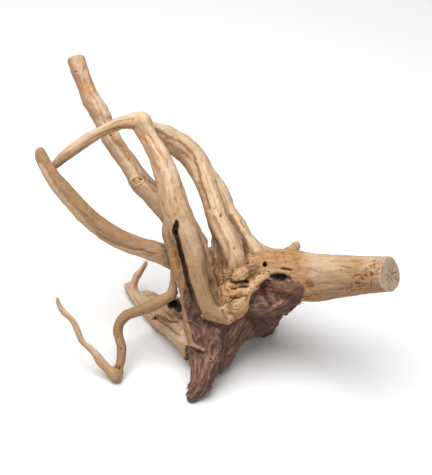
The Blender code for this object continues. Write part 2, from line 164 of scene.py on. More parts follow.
# Each strand's route: across, up, toward and radius, in millimetres
STRANDS = {
    "stock": [
        (62, 128, -22, 23), (95, 124, -2, 24.6), (122, 122, 15, 23.2), (155, 122.8, 36, 20.2),
        (182, 124.8, 54, 17.6), (214, 125.8, 75, 16.4),
    ],
    "stock_stub": [(95, 141, -8, 9), (103.6, 149.5, -14, 5.8), (107.8, 157.4, -20, 3)],
    "crown_heart": [(30, 110, -16, 17), (52, 122, -16, 25), (78, 130, -20, 24)],
    "crown_front": [(30, 90, 2, 13), (44, 98, 2, 16), (58, 114, -2, 16)],
    "crown_hollow": [(22, 141, -19, 6), (22, 130, -20, 11), (24, 112, -14, 13), (30, 98, -6, 13)],
    "crown_knob": [(45, 121, 10, 5), (51, 125, 13, 7), (57, 128, 11, 5)],
    "crown_back": [(58, 118, -34, 18), (68, 121, -54, 13), (75, 124, -68, 8), (78, 126, -74, 4)],
    "crown_rim": [
        (40, 90, 12, 6), (50, 95, 15, 7), (56, 106, 14, 6.5), (64, 115, 12, 6), (75, 121, 10, 5.5),
        (88, 119, 18, 5),
    ],
    "crown_fold": [(32, 104, 8, 6), (38, 112, 8, 6.5), (46, 108, 12, 6), (52, 112, 14, 5)],
    "front_arch": [
        (44, 80, 14, 3), (40, 80.5, 14, 5), (30, 84, 15, 8.5), (20, 89, 16, 9.5), (12.5, 104, 16, 10),
        (7, 124, 16, 10.3), (3.5, 146, 17, 11), (-4, 166, 18, 12.5), (-11, 183, 19, 14.4),
        (-16, 197, 19, 14), (-19.8, 216, 20, 12), (-28.7, 240.5, 20, 10.3), (-34, 251, 20, 9.4),
        (-40, 260, 20, 8.7), (-45, 270, 20, 8.8), (-48.5, 279.5, 20, 9),
    ],
    "leg_bulb": [(34, 90, 19, 3.5), (38, 92.6, 20, 4.2)],
    "leg_point": [(34, 83, 16, 5.5), (40, 80.6, 17, 4.4), (43.6, 79.6, 17, 2)],
    "arch_knuckle": [(-44, 274, 20, 8), (-48, 280, 20, 9), (-50.5, 285, 19, 6.6), (-51.5, 288, 19, 3)],
    "arch_burr": [(-48.5, 264.5, 20, 4), (-52.6, 261.4, 20, 1.5)],
    "arch_rib": [
        (-14, 196, 14, 9), (-5, 180, 12, 9.5), (3, 166, 9, 8.5), (9, 154, 4, 8), (14, 140, -3, 9),
        (18, 122, -9, 11),
    ],
    "crack_lip": [
        (-16, 190, 17, 9), (-21, 175, 14, 7), (-22, 163, 12, 5), (-19, 152, 11, 4.6), (-13.5, 134, 10, 4.8),
        (-8.2, 116, 9, 4.6), (-4, 100, 8, 4.8), (-1, 84, 6, 6), (4, 68, 4, 9), (9, 54, 2, 9),
    ],
    "lip_fin": [
        (-17, 180, 6, 9), (-16.5, 152, 2, 5.5), (-10, 130, 0, 5.5), (-2.5, 108, -2, 6.5), (1, 88, -2, 8),
        (6, 70, -2, 11),
    ],
    "crack_foot": [(4, 106, -2, 6), (6.5, 95, 3, 6.8), (9, 84, 5, 7)],
    "crack_back": [(-8, 172, 0, 9), (-4, 150, -6, 9), (2, 128, -9, 10), (8, 104, -8, 12), (14, 84, -6, 14)],
    "arch_tip": [
        (-46, 280, 20, 8), (-54, 279.6, 20, 8.2), (-61, 278, 19, 7.4), (-70, 276.3, 18, 6.4),
        (-81, 272, 17, 5.4), (-92.5, 266, 15, 5.1), (-105, 258.5, 13, 5.6), (-118, 249.5, 11, 5.4),
        (-130, 239.5, 8, 4.5), (-140, 230, 5, 3),
    ],
    "left_branch": [
        (10, 132, -16, 11), (-16, 141.5, -12, 10.6), (-31.8, 147.4, -9, 10.2), (-50.5, 153.3, -5, 9.8),
        (-68.5, 160.2, -1, 9.7), (-82.4, 168, 3, 9.4), (-96.8, 179, 8, 9.2), (-106, 187.4, 11, 9.2),
        (-120.5, 203.4, 16, 8.5), (-133.4, 218.2, 20, 7.8), (-143, 232, 23, 6.9), (-149, 243.5, 25, 5.6),
        (-152, 252, 26, 3.8),
    ],
    "tall_branch": [
        (24, 126, -22, 13), (6, 154, -18, 13), (-8, 172, -14, 12), (-21, 187, -12, 11),
        (-35.5, 203.2, -12, 10.8), (-48.5, 217.5, -12, 10.8), (-57.2, 230.2, -13, 9.3),
        (-67.5, 245, -14, 8.8), (-77.5, 260, -15, 8.8), (-84, 273, -16, 8.6), (-88, 283, -17, 8.8),
        (-92.6, 291.5, -17, 9), (-98, 299.6, -18, 8.6), (-102, 309, -18, 7.7), (-108.8, 326.7, -19, 7.8),
        (-114.1, 342.8, -20, 8.2), (-118.5, 354, -20, 8.2),
    ],
    "left_bump": [(-106, 190, 10, 7), (-105.6, 194.4, 8, 4.4)],
    "tall_knob": [(-86.5, 284, -14, 7.6), (-82.4, 288.2, -12, 5.2)],
    "tall_nub": [(-99, 297, -17, 7), (-106.5, 300.5, -14, 3)],
    "tall_scar": [(-50, 221.5, -7.5, 6.4), (-53, 219.5, -5.5, 6.4), (-56, 217.5, -7.5, 6.4)],
    "back_arch": [
        (52, 118, -6, 13), (46, 138, -4, 11.5), (39, 158, -6, 11), (29, 178, -14, 10.5),
        (21.3, 204, -22, 10.5), (8.8, 233.3, -27, 11.8), (-1.5, 247, -27, 12), (-13.2, 256.5, -22, 11.8),
        (-24.2, 264.7, -12, 9.5), (-36, 271.6, 0, 5.8), (-45, 273, 12, 6),
    ],
    "back_rib": [
        (81, 136, -14, 15), (67, 146.6, -14, 10.5), (55.5, 159.7, -15, 9.2), (46.6, 176.2, -18, 8.6),
        (36.8, 190.5, -24, 8.3), (31, 206, -28, 8.2), (15.5, 228, -30, 8.6), (6, 240, -30, 8),
    ],
    "inner_rib": [(36, 124, -14, 9), (31, 146, -14, 8), (28.5, 166, -16, 7), (24.5, 184, -20, 7)],
    "foot": [
        (30, 96, -6, 18), (20, 76, -6, 18), (17, 56, -6, 16.8), (15.5, 38, -2, 14.2), (13, 26, 1, 12.7),
        (9.8, 15, 3, 10.2), (5, 8, 3, 7.6), (1, 3.5, 3, 5.6), (-2.6, 1.6, 3, 3.6),
    ],
    "dark_web": [
        (52, 98, -16, 20), (42, 78, -22, 19), (34, 60, -26, 17), (28, 45, -27, 14), (21, 31, -22, 10),
    ],
    "dark_heel": [(66, 106, -22, 20), (64, 90, -42, 19), (68, 80, -64, 15.5), (74, 77, -84, 13)],
    "dark_fill": [(40, 72, -34, 16), (56, 77, -48, 15.5), (70, 81.5, -52, 15.5), (81, 88, -46, 14)],
    "dark_bulge": [(70, 98, -30, 17), (84, 91, -26, 14), (90, 88, -28, 10)],
    "dark_lobe": [
        (62, 102, -6, 18), (86, 101, -2, 17), (100, 104, 2, 12.5), (108, 107, 5, 8.5), (113, 108, 6, 4),
    ],
    "low_root": [
        (12, 62, -12, 12), (1, 59, -26, 12.2), (-8, 64.5, -38, 10.8), (-19.5, 74, -57, 9.2),
        (-32, 82.5, -77, 8.2), (-43.5, 91, -96, 6.8), (-52, 100, -111, 5.8), (-59, 110, -123, 5.2),
        (-62.6, 116, -130, 4.2),
    ],
    "low_fork": [
        (2, 66, -22, 11), (-8, 72, -38, 10), (-17, 82, -56, 8.5), (-27, 93, -76, 7.5), (-38, 101, -92, 6.5),
        (-47, 106, -104, 4),
    ],
    "low_back": [(6, 90, -26, 9), (-4, 93, -34, 8.6), (-13, 96, -44, 7), (-21, 97, -54, 4.4)],
    "low_heel": [(-5, 56, -30, 7.2), (-3.2, 48, -29, 6.2), (-1, 41.5, -28, 4.4)],
    "low_stub": [(-34, 87, -58, 4), (-26, 86.5, -52, 5), (-17, 82, -46, 3), (-14, 80.5, -44, 1.8)],
    "low_ledge": [(-30, 82, -74, 8), (-36, 74.5, -74, 4.5), (-38, 71.5, -74, 2)],
    "low_twig": [
        (-57, 106, -117, 4), (-55.3, 117, -119, 3.4), (-51.3, 125.5, -119, 3.1), (-45, 135, -118, 2.8),
        (-42.6, 139.5, -117, 2.2),
    ],
    "hooked_twig": [
        (-15, 110, -11, 3.6), (-17.5, 105, -12, 4.8), (-26, 101, -12, 5.6), (-37, 94.6, -14, 5.5),
        (-47, 90.6, -17, 5.2), (-57, 87, -20, 5.1), (-64.5, 84, -21, 5.1), (-70, 77.4, -22, 5),
        (-72, 70, -23, 4.8), (-71, 62, -22, 4.6), (-68.5, 53, -20, 4.5), (-69, 42, -19, 4.3),
        (-71, 31, -18, 4.3), (-73.5, 18.5, -16, 4.2),
    ],
    "twig_prong": [(-19, 103, -12, 5), (-17.4, 112, -10, 3.6), (-16.6, 122, -6, 2.9), (-15, 134, 0, 4)],
    "twig_tip": [
        (-74, 20, -16, 4.3), (-80, 29, -18, 4.3), (-88, 37.5, -18, 4.2), (-97, 49, -18, 3.7),
        (-106.5, 57.5, -18, 3.6), (-112, 68, -17, 3.4), (-117, 79, -16, 3.2), (-126.5, 87.5, -15, 3.1),
        (-131, 95, -14, 2.8), (-132.6, 101, -13, 2.5), (-133.2, 103.4, -13, 2),
    ],
}

# The long crack beside the lip: across, up, and how far toward the eye its floor lies
CRACK = [
    (-14.3, 171, 18), (-12.6, 162, 10), (-10.6, 153, 5), (-7.4, 141, 3), (-3.2, 125, 3), (0.6, 111, 5),
    (4.6, 97.5, 9), (7.6, 90, 12), (9.4, 85, 15),
]

# The foot of the gap between the two arches, which goes right through
ARCH_GAP = [(14.5, 172, -70), (17.6, 165, -70), (19, 159, -70), (19.8, 152, -70)]

# Hollows scooped out along a route: across, up, toward, radius
HOLLOWS = {
    "crack_top": [
        (-13.2, 180, 31.6, 0.9), (-13.6, 176, 30.4, 1.7), (-14.2, 172, 29, 2.4), (-14.8, 168, 27, 2.8),
        (-14.6, 163, 24, 2.8),
    ],
    "crack_mouth": [
        (-14.8, 168, 26, 1.4), (-14.4, 162, 23, 2.6), (-12.6, 153, 20, 2.9), (-8.8, 143, 16, 1.6),
    ],
    "crown_slot": [
        (79, 125.4, 17, 1.2), (82.5, 124.8, 18, 3), (87.5, 124, 20, 4.2), (93, 123.2, 23.5, 3.9),
        (97.5, 122.4, 27, 2.4), (101, 121.8, 30, 1.2),
    ],
    "crown_hole": [(74.6, 135.4, 14, 1.5), (75, 134.6, 4, 1.8), (75.6, 134, -8, 1.4)],
    "crown_hole_tail": [(74, 137.5, 14, 1.2), (75, 136, 6, 1.6), (76, 135, -4, 1)],
    "low_pocket": [(-19, 96, -47, 2.2), (-14.5, 96, -40, 4.4), (-10, 93, -33, 4.4)],
    "low_pit": [(-35, 83, -58, 2), (-33.5, 82, -68, 2)],
    "dark_seam": [(30, 74, 14, 1.2), (52, 70, 4, 2.6), (62, 72, -8, 2.6), (72, 76, -22, 1.4)],
}

# The sawn ends: a point on the face and the direction out of it
SAWN_ENDS = {
    "stock_saw": ((200.2, 126, 66), (0.724, 0, 0.69)),
    "tall_saw": ((-114.8, 342.8, -20), (-0.2, 0.975, -0.1)),
}

# Creases weathered into the side that faces the eye, with painted shade in their depths: depth, half
# width, least and greatest reach toward the eye, and across and up along each. A depth below nought
# raises a fold, which gets no painted shade.
CREASES = {
    "tall_groove": (0.8, 1.0, -40, 0, [
        (-106, 320.6), (-101.3, 312), (-94.6, 300.5), (-91.7, 293.8), (-87.9, 284.2), (-84.1, 277.5),
        (-79.3, 265), (-72.6, 257.4), (-65, 248), (-59.2, 238.3), (-50.6, 226.8), (-44, 221), (-39, 213.4),
        (-34.3, 207.6),
    ]),
    "tall_trough": (1.2, 2.2, -40, 0, [(-79.3, 265), (-72.6, 257.4), (-65, 248), (-61, 241)]),
    "tall_seam": (0.4, 0.7, -40, 0, [(-112, 338), (-108, 327), (-104, 318), (-99, 309)]),
    "tall_ring": (0.35, 0.6, -40, 0, [
        (-110.3, 317.3), (-107.3, 320.3), (-104.3, 317.3), (-107.3, 314.3), (-110.3, 317.3),
    ]),
    "knuckle_crease": (0.6, 0.8, 5, 60, [(-56.8, 281), (-57.6, 278), (-59, 274), (-56, 271)]),
    "scar_line": (2.2, 0.8, -40, 0, [(-57.3, 217.1), (-56.3, 220.2), (-52.9, 221.5), (-48.1, 220.7)]),
    "scar_ring": (-0.9, 1.0, -40, 0, [
        (-60, 216), (-58.5, 221), (-54, 224.4), (-48.5, 224), (-45.6, 221), (-47, 217.6), (-51.5, 215),
        (-56.6, 213.6), (-60, 216),
    ]),
    "left_seam": (1.3, 1.1, -60, 60, [
        (-93, 167), (-83.4, 160), (-74, 155.2), (-64.3, 152.2), (-54.7, 149.6), (-45, 148.6), (-35.6, 146),
        (-26, 144),
    ]),
    "left_fold": (-0.7, 1.0, -60, 60, [(-101, 177), (-92, 169.4), (-82, 162.6), (-73, 158)]),
    "left_knot": (0.8, 1.6, -60, 60, [(-103.5, 195), (-101.5, 191)]),
    "arch_tip_seam": (0.8, 0.8, 0, 60, [
        (-108, 255.5), (-99, 261.5), (-90, 266.2), (-80, 269.6), (-70, 271.8),
    ]),
    "arch_tip_strand": (0.5, 0.7, 0, 60, [(-86, 271.5), (-76, 276), (-66, 279.5), (-60, 281)]),
    "back_groove": (1.4, 1.9, -60, 10, [
        (-34, 270), (-20.6, 261.5), (-8.5, 256.7), (2.4, 247), (7.3, 234.8), (9.7, 226.4), (9.7, 216.7),
        (15.7, 203.4), (18, 192),
    ]),
    "rib_groove_left": (1.1, 1.9, -60, 12, [
        (22.9, 181.6), (30, 168.2), (37, 156.6), (38, 141.4), (35.4, 132.5),
    ]),
    "rib_groove_right": (1.1, 1.9, -60, 12, [
        (41, 184), (47, 172.7), (54, 163.7), (56, 148.6), (57.7, 138),
    ]),
    "rib_slit": (1.2, 0.7, -60, 12, [(51.4, 180), (52.5, 176), (54.5, 173.4)]),
    "rib_seam": (0.5, 0.8, -60, 12, [(60, 172), (66, 160), (74, 150), (84, 146)]),
    "knob_under": (2.6, 1.4, -30, 40, [(41.6, 118.4), (46, 117.5), (52, 118.6), (57.5, 118.5)]),
    "fold_line": (2.4, 1.2, -30, 40, [(41.6, 111.5), (47, 112.2), (53, 114), (57.7, 113.7)]),
    "fold_line_low": (1.8, 1.0, -30, 40, [(42.5, 100.8), (47, 102.6), (52, 103.4), (56, 104.2)]),
    "fold_lobe": (-2.0, 3.0, -30, 40, [(37, 104), (44, 107), (50, 108.5), (57, 109)]),
    "recess_line": (1.5, 1.1, -40, 14, [(24, 139), (25, 130), (27, 120), (29, 110), (32, 104)]),
    "recess_line_two": (1.1, 0.9, -40, 14, [(31, 138), (32, 128), (33, 119), (35, 110)]),
    "leg_bark": (0.6, 1.6, 0, 60, [(33, 88), (37, 85), (41, 86), (40, 90), (35, 93)]),
    "arch_fleck": (0.7, 0.8, 0, 60, [(-23.5, 241), (-22, 238), (-21.5, 233)]),
    "arch_chips": (0.5, 1.4, 0, 60, [(-22, 184), (-18, 181), (-15, 185), (-12, 190)]),
    "stock_wrinkle_a": (0.37, 1.1, -20, 60, [(84.5, 149), (84.8, 144), (86.5, 137)]),
    "stock_wrinkle_c": (0.37, 1.1, -20, 60, [(93, 150), (93.6, 143), (96, 136)]),
    "stock_wrinkle_e": (0.32, 1.1, -20, 60, [(101, 147), (104.5, 140), (109, 133), (112, 129)]),
    "stock_wrinkle_f": (0.28, 1.1, -20, 60, [
        (106, 141), (112, 136), (119.8, 131.8), (126, 129), (131.4, 127.7),
    ]),
    "stock_wrinkle_g": (0.24, 1.1, -20, 60, [(109, 136), (114, 131), (117, 127)]),
    "knob_top": (-2.0, 3.2, -30, 40, [(45, 121.5), (50, 124.5), (55.5, 128)]),
    "rim_swell": (-1.6, 3.4, -20, 40, [(62, 112), (66, 117), (71, 122), (77, 126)]),
    "slot_lip": (-1.6, 1.8, -20, 60, [(80, 126.6), (86, 128.5), (93, 128.6), (98, 126.8)]),
    "slot_upper": (2.0, 1.2, -20, 60, [(91, 132), (96, 131.6), (100.5, 129.8)]),
    "stock_line": (0.4, 0.5, -20, 90, [(124, 118), (134, 116.6), (146, 116.4), (157, 115.6)]),
    "stock_line_low": (0.4, 0.5, -20, 90, [(126, 112.4), (138, 110.6), (150, 110.2), (158, 109.6)]),
    "stock_knot": (1.1, 2.2, -20, 90, [(117, 116.5), (119, 114.6), (121, 115)]),
    "stock_corner": (1.4, 2.0, -20, 90, [(113, 103), (117, 101), (122, 100)]),
    "sawn_split": (1.0, 0.6, 40, 100, [
        (200.3, 129.3), (200.5, 124), (201, 118.6), (197, 113), (194.5, 111),
    ]),
    "lip_edge": (-0.9, 0.9, -20, 40, [(-15.6, 121), (-12, 108), (-8.5, 94), (-5, 80), (-3.5, 70)]),
    "low_stub_under": (1.8, 1.1, -140, -20, [(-33, 83.4), (-27, 81.5), (-20, 79), (-14, 79)]),
    "leg_chip": (1.2, 0.8, 0, 60, [(33.5, 87), (35, 83.5), (37.5, 80)]),
    "leg_tip": (-1.1, 1.7, 0, 60, [(38, 84.5), (42.5, 81)]),
    "web_scratch": (-0.8, 0.6, -60, 40, [(47.6, 74), (47, 65)]),
    "stock_root_oval": (0.8, 1.0, -20, 90, [(118, 103), (122, 105.2), (127, 105.4), (131, 103.4)]),
    "chip_edge": (1.0, 0.7, 0, 90, [(179.6, 128), (180.4, 123), (181, 117), (180.6, 112)]),
    "chip_crack": (0.9, 0.6, 0, 90, [(164, 109.4), (172, 110), (182, 110.2), (191, 110.6), (196.5, 112)]),
    "chip_top": (0.8, 0.7, 0, 90, [(180, 126), (186, 125.6), (192, 126.4)]),
    "lip_stripe": (0.5, 0.6, -20, 40, [(-24, 160), (-19, 142), (-14, 124), (-9, 106), (-5, 90), (1, 74)]),
    "lip_stripe_two": (0.4, 0.5, -20, 40, [(-17, 150), (-11, 130), (-5, 110), (-1, 92), (5, 76)]),
    "foot_flake": (-1.4, 1.2, -30, 40, [(-4, 57), (1, 55.2), (7, 51.6), (13, 49.6), (17, 50)]),
    "foot_flake_under": (1.3, 0.9, -30, 40, [(-3, 54), (2, 52), (8, 48.6), (14, 47)]),
    "foot_seam": (1.0, 0.9, -30, 40, [(3, 52), (3.5, 44), (3, 34), (5, 22), (3, 10)]),
    "foot_seam_two": (0.9, 0.9, -30, 40, [(12, 46), (12.5, 36), (10, 26), (6, 16), (2, 6)]),
    "foot_seam_three": (0.9, 0.9, -30, 40, [(22, 60), (22, 46), (20, 34), (15, 24), (10, 14)]),
    "web_fold": (-1.3, 2.2, -60, 40, [(24, 80), (30, 66), (32, 52), (31, 42)]),
    "lobe_brow": (-1.6, 2.6, -40, 40, [(76, 96), (80, 106), (88, 111), (98, 110), (106, 106)]),
    "lobe_fold": (2.6, 2.4, -60, 40, [(72.6, 113), (74, 106), (76.4, 101), (80, 95)]),
    "lobe_line": (1.6, 1.5, -60, 40, [(83, 109), (92, 107), (103, 104.6)]),
    "lobe_ridge": (-1.4, 2.4, -60, 40, [(84, 94), (94, 99), (106, 105)]),
    "under_rim": (2.2, 3.4, -60, 30, [(58, 83), (66, 80), (74, 77)]),
    "low_pit_line": (1.0, 0.9, -120, -20, [(-37, 84), (-34, 82), (-31, 83)]),
    "low_seam": (0.8, 0.9, -140, -20, [(-56, 104), (-48, 93), (-38, 85), (-26, 76), (-14, 66)]),
    "low_seam_two": (0.8, 0.9, -140, -20, [(-44, 105), (-34, 97), (-24, 88), (-13, 78)]),
}

# Small holes in the side that faces the eye, painted dark inside as painted shade: across, up,
# radius, depth, least and greatest reach
PITS = [
    (-114.5, 328, 0.9, 1.4, -40, 0), (31.3, 184.3, 1.0, 1.3, -60, 12), (44.3, 151.5, 1.0, 1.3, -60, 12),
    (24.6, 191.7, 0.8, 1.0, -60, 12), (-79.4, 265.2, 1.2, 1.2, -40, 0), (-72.3, 63, 1.3, 1.2, -40, 0),
    (-68.5, 51, 1.3, 1.2, -40, 0), (-70.4, 32, 2.8, 1.2, -40, 0), (-74, 33, 1.8, 1, -40, 0),
    (-73, 66, 1, 1.0, -40, 0), (-34.6, 82.4, 1.6, 1.8, -120, -20), (-31.4, 84.2, 1.2, 1.6, -120, -20),
    (-37.6, 81, 1.1, 1.5, -120, -20), (57, 119, 1.8, 2.2, -20, 40), (150.5, 130, 0.8, 0.6, 0, 90),
    (74, 126, 1.0, 1.4, -20, 40), (70, 127.5, 0.8, 1.2, -20, 40), (66.5, 124, 0.8, 1.2, -20, 40),
    (78, 129, 0.9, 1.3, -20, 40), (-9.5, 213, 0.7, 0.8, 0, 60), (-26, 228, 0.6, 0.7, 0, 60),
    (16.5, 86, 0.9, 1.0, 0, 60), (42, 79.4, 1.4, 1.2, 0, 60), (33, 89.4, 1.3, 1.3, 0, 60),
    (18.5, 109.5, 0.7, 0.8, 0, 60), (12, 104, 0.6, 0.6, 0, 60), (-140, 226, 0.7, 0.8, 0, 60),
    (-135, 219, 0.7, 0.7, 0, 60), (-96, 182, 0.7, 0.8, -10, 60), (9, 47, 1.2, 1.2, -30, 40),
]

# Patches of another wear, and patches of painted shade, shadow and highlight, as noted on them: least and
# greatest reach toward the eye, and across, up and radius of each
PATCHES = {
    "chipped": (20, 100, [(186, 134, 8), (177, 127, 6), (168, 118, 8), (161, 111.5, 5)]),
    "whole_plate": (20, 100, [(188.6, 116.4, 8.4)]),
    "lip_rust": (-20, 30, [
        (-15, 146, 4.5), (-12.5, 135, 5), (-10, 124, 5), (-8, 113, 5), (-5.6, 103, 4.5),
    ]),
    # Red-brown stripes on the foot, and a painted highlight along the top of the dark lobe
    "dark_rust": (-30, 40, [(11, 38, 5), (7, 18, 5), (4, 44, 4), (74, 113, 6), (86, 111, 6), (98, 111, 5)]),
    # Painted shade, grey, in the corner where the trunk meets the dark lobe
    "greyed_root": (-10, 90, [(119, 116, 6), (116, 103, 5)]),
    # Painted shadow in the root's pocket, the slot and the top of the crack
    "root_pocket": (-160, -16, [(-19, 95.4, 4.2), (-14, 96.4, 5), (-11.4, 92, 4.6)]),
    "slot": (-20, 60, [
        (81.8, 125, 1.8), (85, 124.4, 2.8), (88.6, 123.8, 3.3), (92.6, 123.4, 3.3), (96.4, 123.2, 2.4),
    ]),
    "crack_top": (10, 60, [
        (-13.5, 177.6, 1.8), (-13.9, 175, 2.3), (-14.4, 172.5, 2.7), (-14.7, 170, 2.9), (-14.8, 167.5, 2.7),
    ]),
    "honeyed": (0, 60, [(37.5, 92, 6)]),
    "crust": (-20, 40, [(72, 124, 6), (66, 117.6, 6), (61, 109, 5), (78, 129, 4)]),
    # Painted shade in the corner where the trunk meets the dark lobe, and along the trunk's underside there
    "smudged": (-10, 90, [
        (118.5, 116.5, 5), (115.5, 109.5, 4.5), (114.5, 101, 4.5), (121.5, 113, 3.4), (121, 104.6, 4),
        (127, 104, 3.6), (133, 103.6, 3),
    ]),
    "smudged_below": (20, 100, [(160, 109, 3), (168, 109.4, 2.4), (176, 110, 2.2)]),
    # Painted shade in the crown's recess
    "recess": (-60, 14, [(26, 122, 11), (28, 108, 9), (24, 137, 7), (31, 134, 6)]),
}

# The left branch's lower rim, which gets painted light while the rest of that branch gets painted shade
LEFT_RIM = [
    (-150.4, 234.2), (-139, 214.1), (-127.5, 199.7), (-114.1, 185.4), (-103.6, 173.9), (-87.3, 159.6),
    (-73.9, 153.8), (-56.7, 147.1), (-40.4, 140.4), (-29, 135.6),
]

# The dark wood's outline on the side that faces the eye
DARK_OUTLINE = [
    (-5, 119), (-1, 117), (3, 104), (7, 94), (11, 84), (20, 79.5), (30, 76), (37, 74.7), (42.5, 75),
    (44.5, 79.5), (46, 81.2), (51.4, 83.4), (55.9, 85.6), (57.7, 89.6), (58.6, 96.8), (60.4, 104),
    (65.7, 110.2), (68.4, 114.6), (74.6, 120), (80.9, 123.6), (90, 120.5), (98.8, 120.9), (105, 119.1),
    (113.9, 114.6), (114.8, 109.3), (112, 102.1), (111, 98.6), (130, 60), (80, -30), (-20, -30), (-8, 20),
    (-6, 41), (-4.8, 55), (2, 52.7), (7.6, 51.4), (14, 49.8), (15.4, 51.4), (9, 53.6), (4.2, 57),
    (2.1, 62.4), (-1.7, 75.4), (-4.4, 88.5), (-7.2, 100), (-7, 110),
]

# Strands that share a finish
STOCK_STRANDS = ("stock", "stock_stub")
LIP_STRANDS = ("crack_lip", "lip_fin")
TWIG_STRANDS = ("hooked_twig", "twig_prong")
BURL_STRANDS = (
    "crown_heart", "crown_front", "crown_hollow", "crown_knob", "crown_back", "crown_rim", "crown_fold",
)
DARK_STRANDS = ("foot", "dark_web", "dark_heel", "dark_fill", "dark_bulge", "dark_lobe")

# Drying cracks in the sawn ends: the way each runs from the pith, in radians, and where it starts
# and ends, in millimetres
END_CRACKS = [
    (0.35, 2, 8), (0.95, 5, 15), (1.6, 3, 9), (2.15, 7, 16), (2.75, 2, 12), (3.5, 4, 15), (4.1, 6, 11),
    (4.65, 2, 13), (5.3, 8, 15), (5.9, 3, 9),
]

# Each branch: its material slot, and how far its wood has greyed with age. On the left branch and the
# hooked twig, this greying is also painted shade.
BRANCHES = {
    "trunk": ("grey_tan_wood", 0.85),
    "crown": ("golden_burl_wood", 0.1),
    "dark_root": ("dark_root_wood", 0.2),
    "front_arch": ("tan_wood", 0.05),
    "arch_tip": ("tan_wood", 0.25),
    "back_arch": ("tan_wood", 0),
    "tall_branch": ("tan_wood", 0.25),
    "left_branch": ("grey_tan_wood", 1),
    "low_root": ("tan_wood", 0.1),
    "hooked_twig": ("tan_wood", 1),
    "twig_tip": ("tan_wood", 0.2),
}
BRANCH_NAMES = list(BRANCHES)

# The grown skin, the masks on it that the wood's colour follows, and the most that a mask may be
SKIN = "grown_skin"
FIELDS = (
    "burl", "dark", "greyed", "hollow", "crest", "stain", "streak", "sawn", "ring", "rust", "dark_pale",
    "bleached",
)
LARGEST_MARK = 30

# The wood's hairs, threads and broad bands: across and along the grain in millimetres, and detail.
# Its clouds and specks, which follow no grain: scale in a metre, detail and roughness.
GRAIN_SIZES = ((0.8, 12, 3), (2.0, 30, 4), (5, 90, 2))
CLOUDS = (52, 3, 0.55)
SPECKS = (620, 2, 0.6)

# Splinters: the inputs of their tree, in metres, the radius of their points in millimetres, and
# their least and greatest scale
SPLINTER_INPUTS = {
    "Density": ("NodeSocketFloat", 14000.0), "Length": ("NodeSocketFloat", 0.007),
    "Width": ("NodeSocketFloat", 0.0006), "Lift": ("NodeSocketFloat", 0.1), "Seed": ("NodeSocketInt", 5),
}
SLIVER_POINT = 0.08
SLIVER_SCALES = ((0.5, 0.5, 0.35), (1.2, 1.2, 1.0))

# The studio, in metres. Each light: its place, its width and its share of the key light's power
FLOOR_SIZE = 3
LIGHT_AIM = (0, 0, 0.1)
LIGHTS = {"overhead": ((-0.3, -0.1, 1.7), 1.5, 1), "front_fill": ((0.6, -1.6, 0.9), 1.2, 0.1)}


class DriftwoodShape(bpy.types.PropertyGroup):
    """Sizes of the skin and of what weather has worn into it, in millimetres."""

    coarse_cell: bpy.props.FloatProperty(
        name="Coarse cell", description="Cell of the skin while hollows are cut, in millimetres",
        default=2.0, min=1,
    )
    fine_cell: bpy.props.FloatProperty(
        name="Fine cell", description="Cell of the finished skin, in millimetres", default=0.9, min=0.6
    )
    flute: bpy.props.FloatProperty(
        name="Flutes", description="Height of the broad ridges along a branch, in millimetres",
        default=0.85, min=0,
    )
    groove: bpy.props.FloatProperty(
        name="Grooves", description="Depth of the narrow grooves along a branch, in millimetres",
        default=0.55, min=0,
    )
    grain: bpy.props.FloatProperty(
        name="Grain", description="Height of the fine grain along a branch, in millimetres",
        default=0.4, min=0,
    )
    burl: bpy.props.FloatProperty(
        name="Burl", description="Height of the crown's knotty figure, in millimetres", default=2.0, min=0
    )
    fibre: bpy.props.FloatProperty(
        name="Fibres", description="Height of the dark root's torn fibres, in millimetres",
        default=1.7, min=0,
    )
    seed: bpy.props.IntProperty(
        name="Seed", description="Number that the random wear starts from", default=11
    )


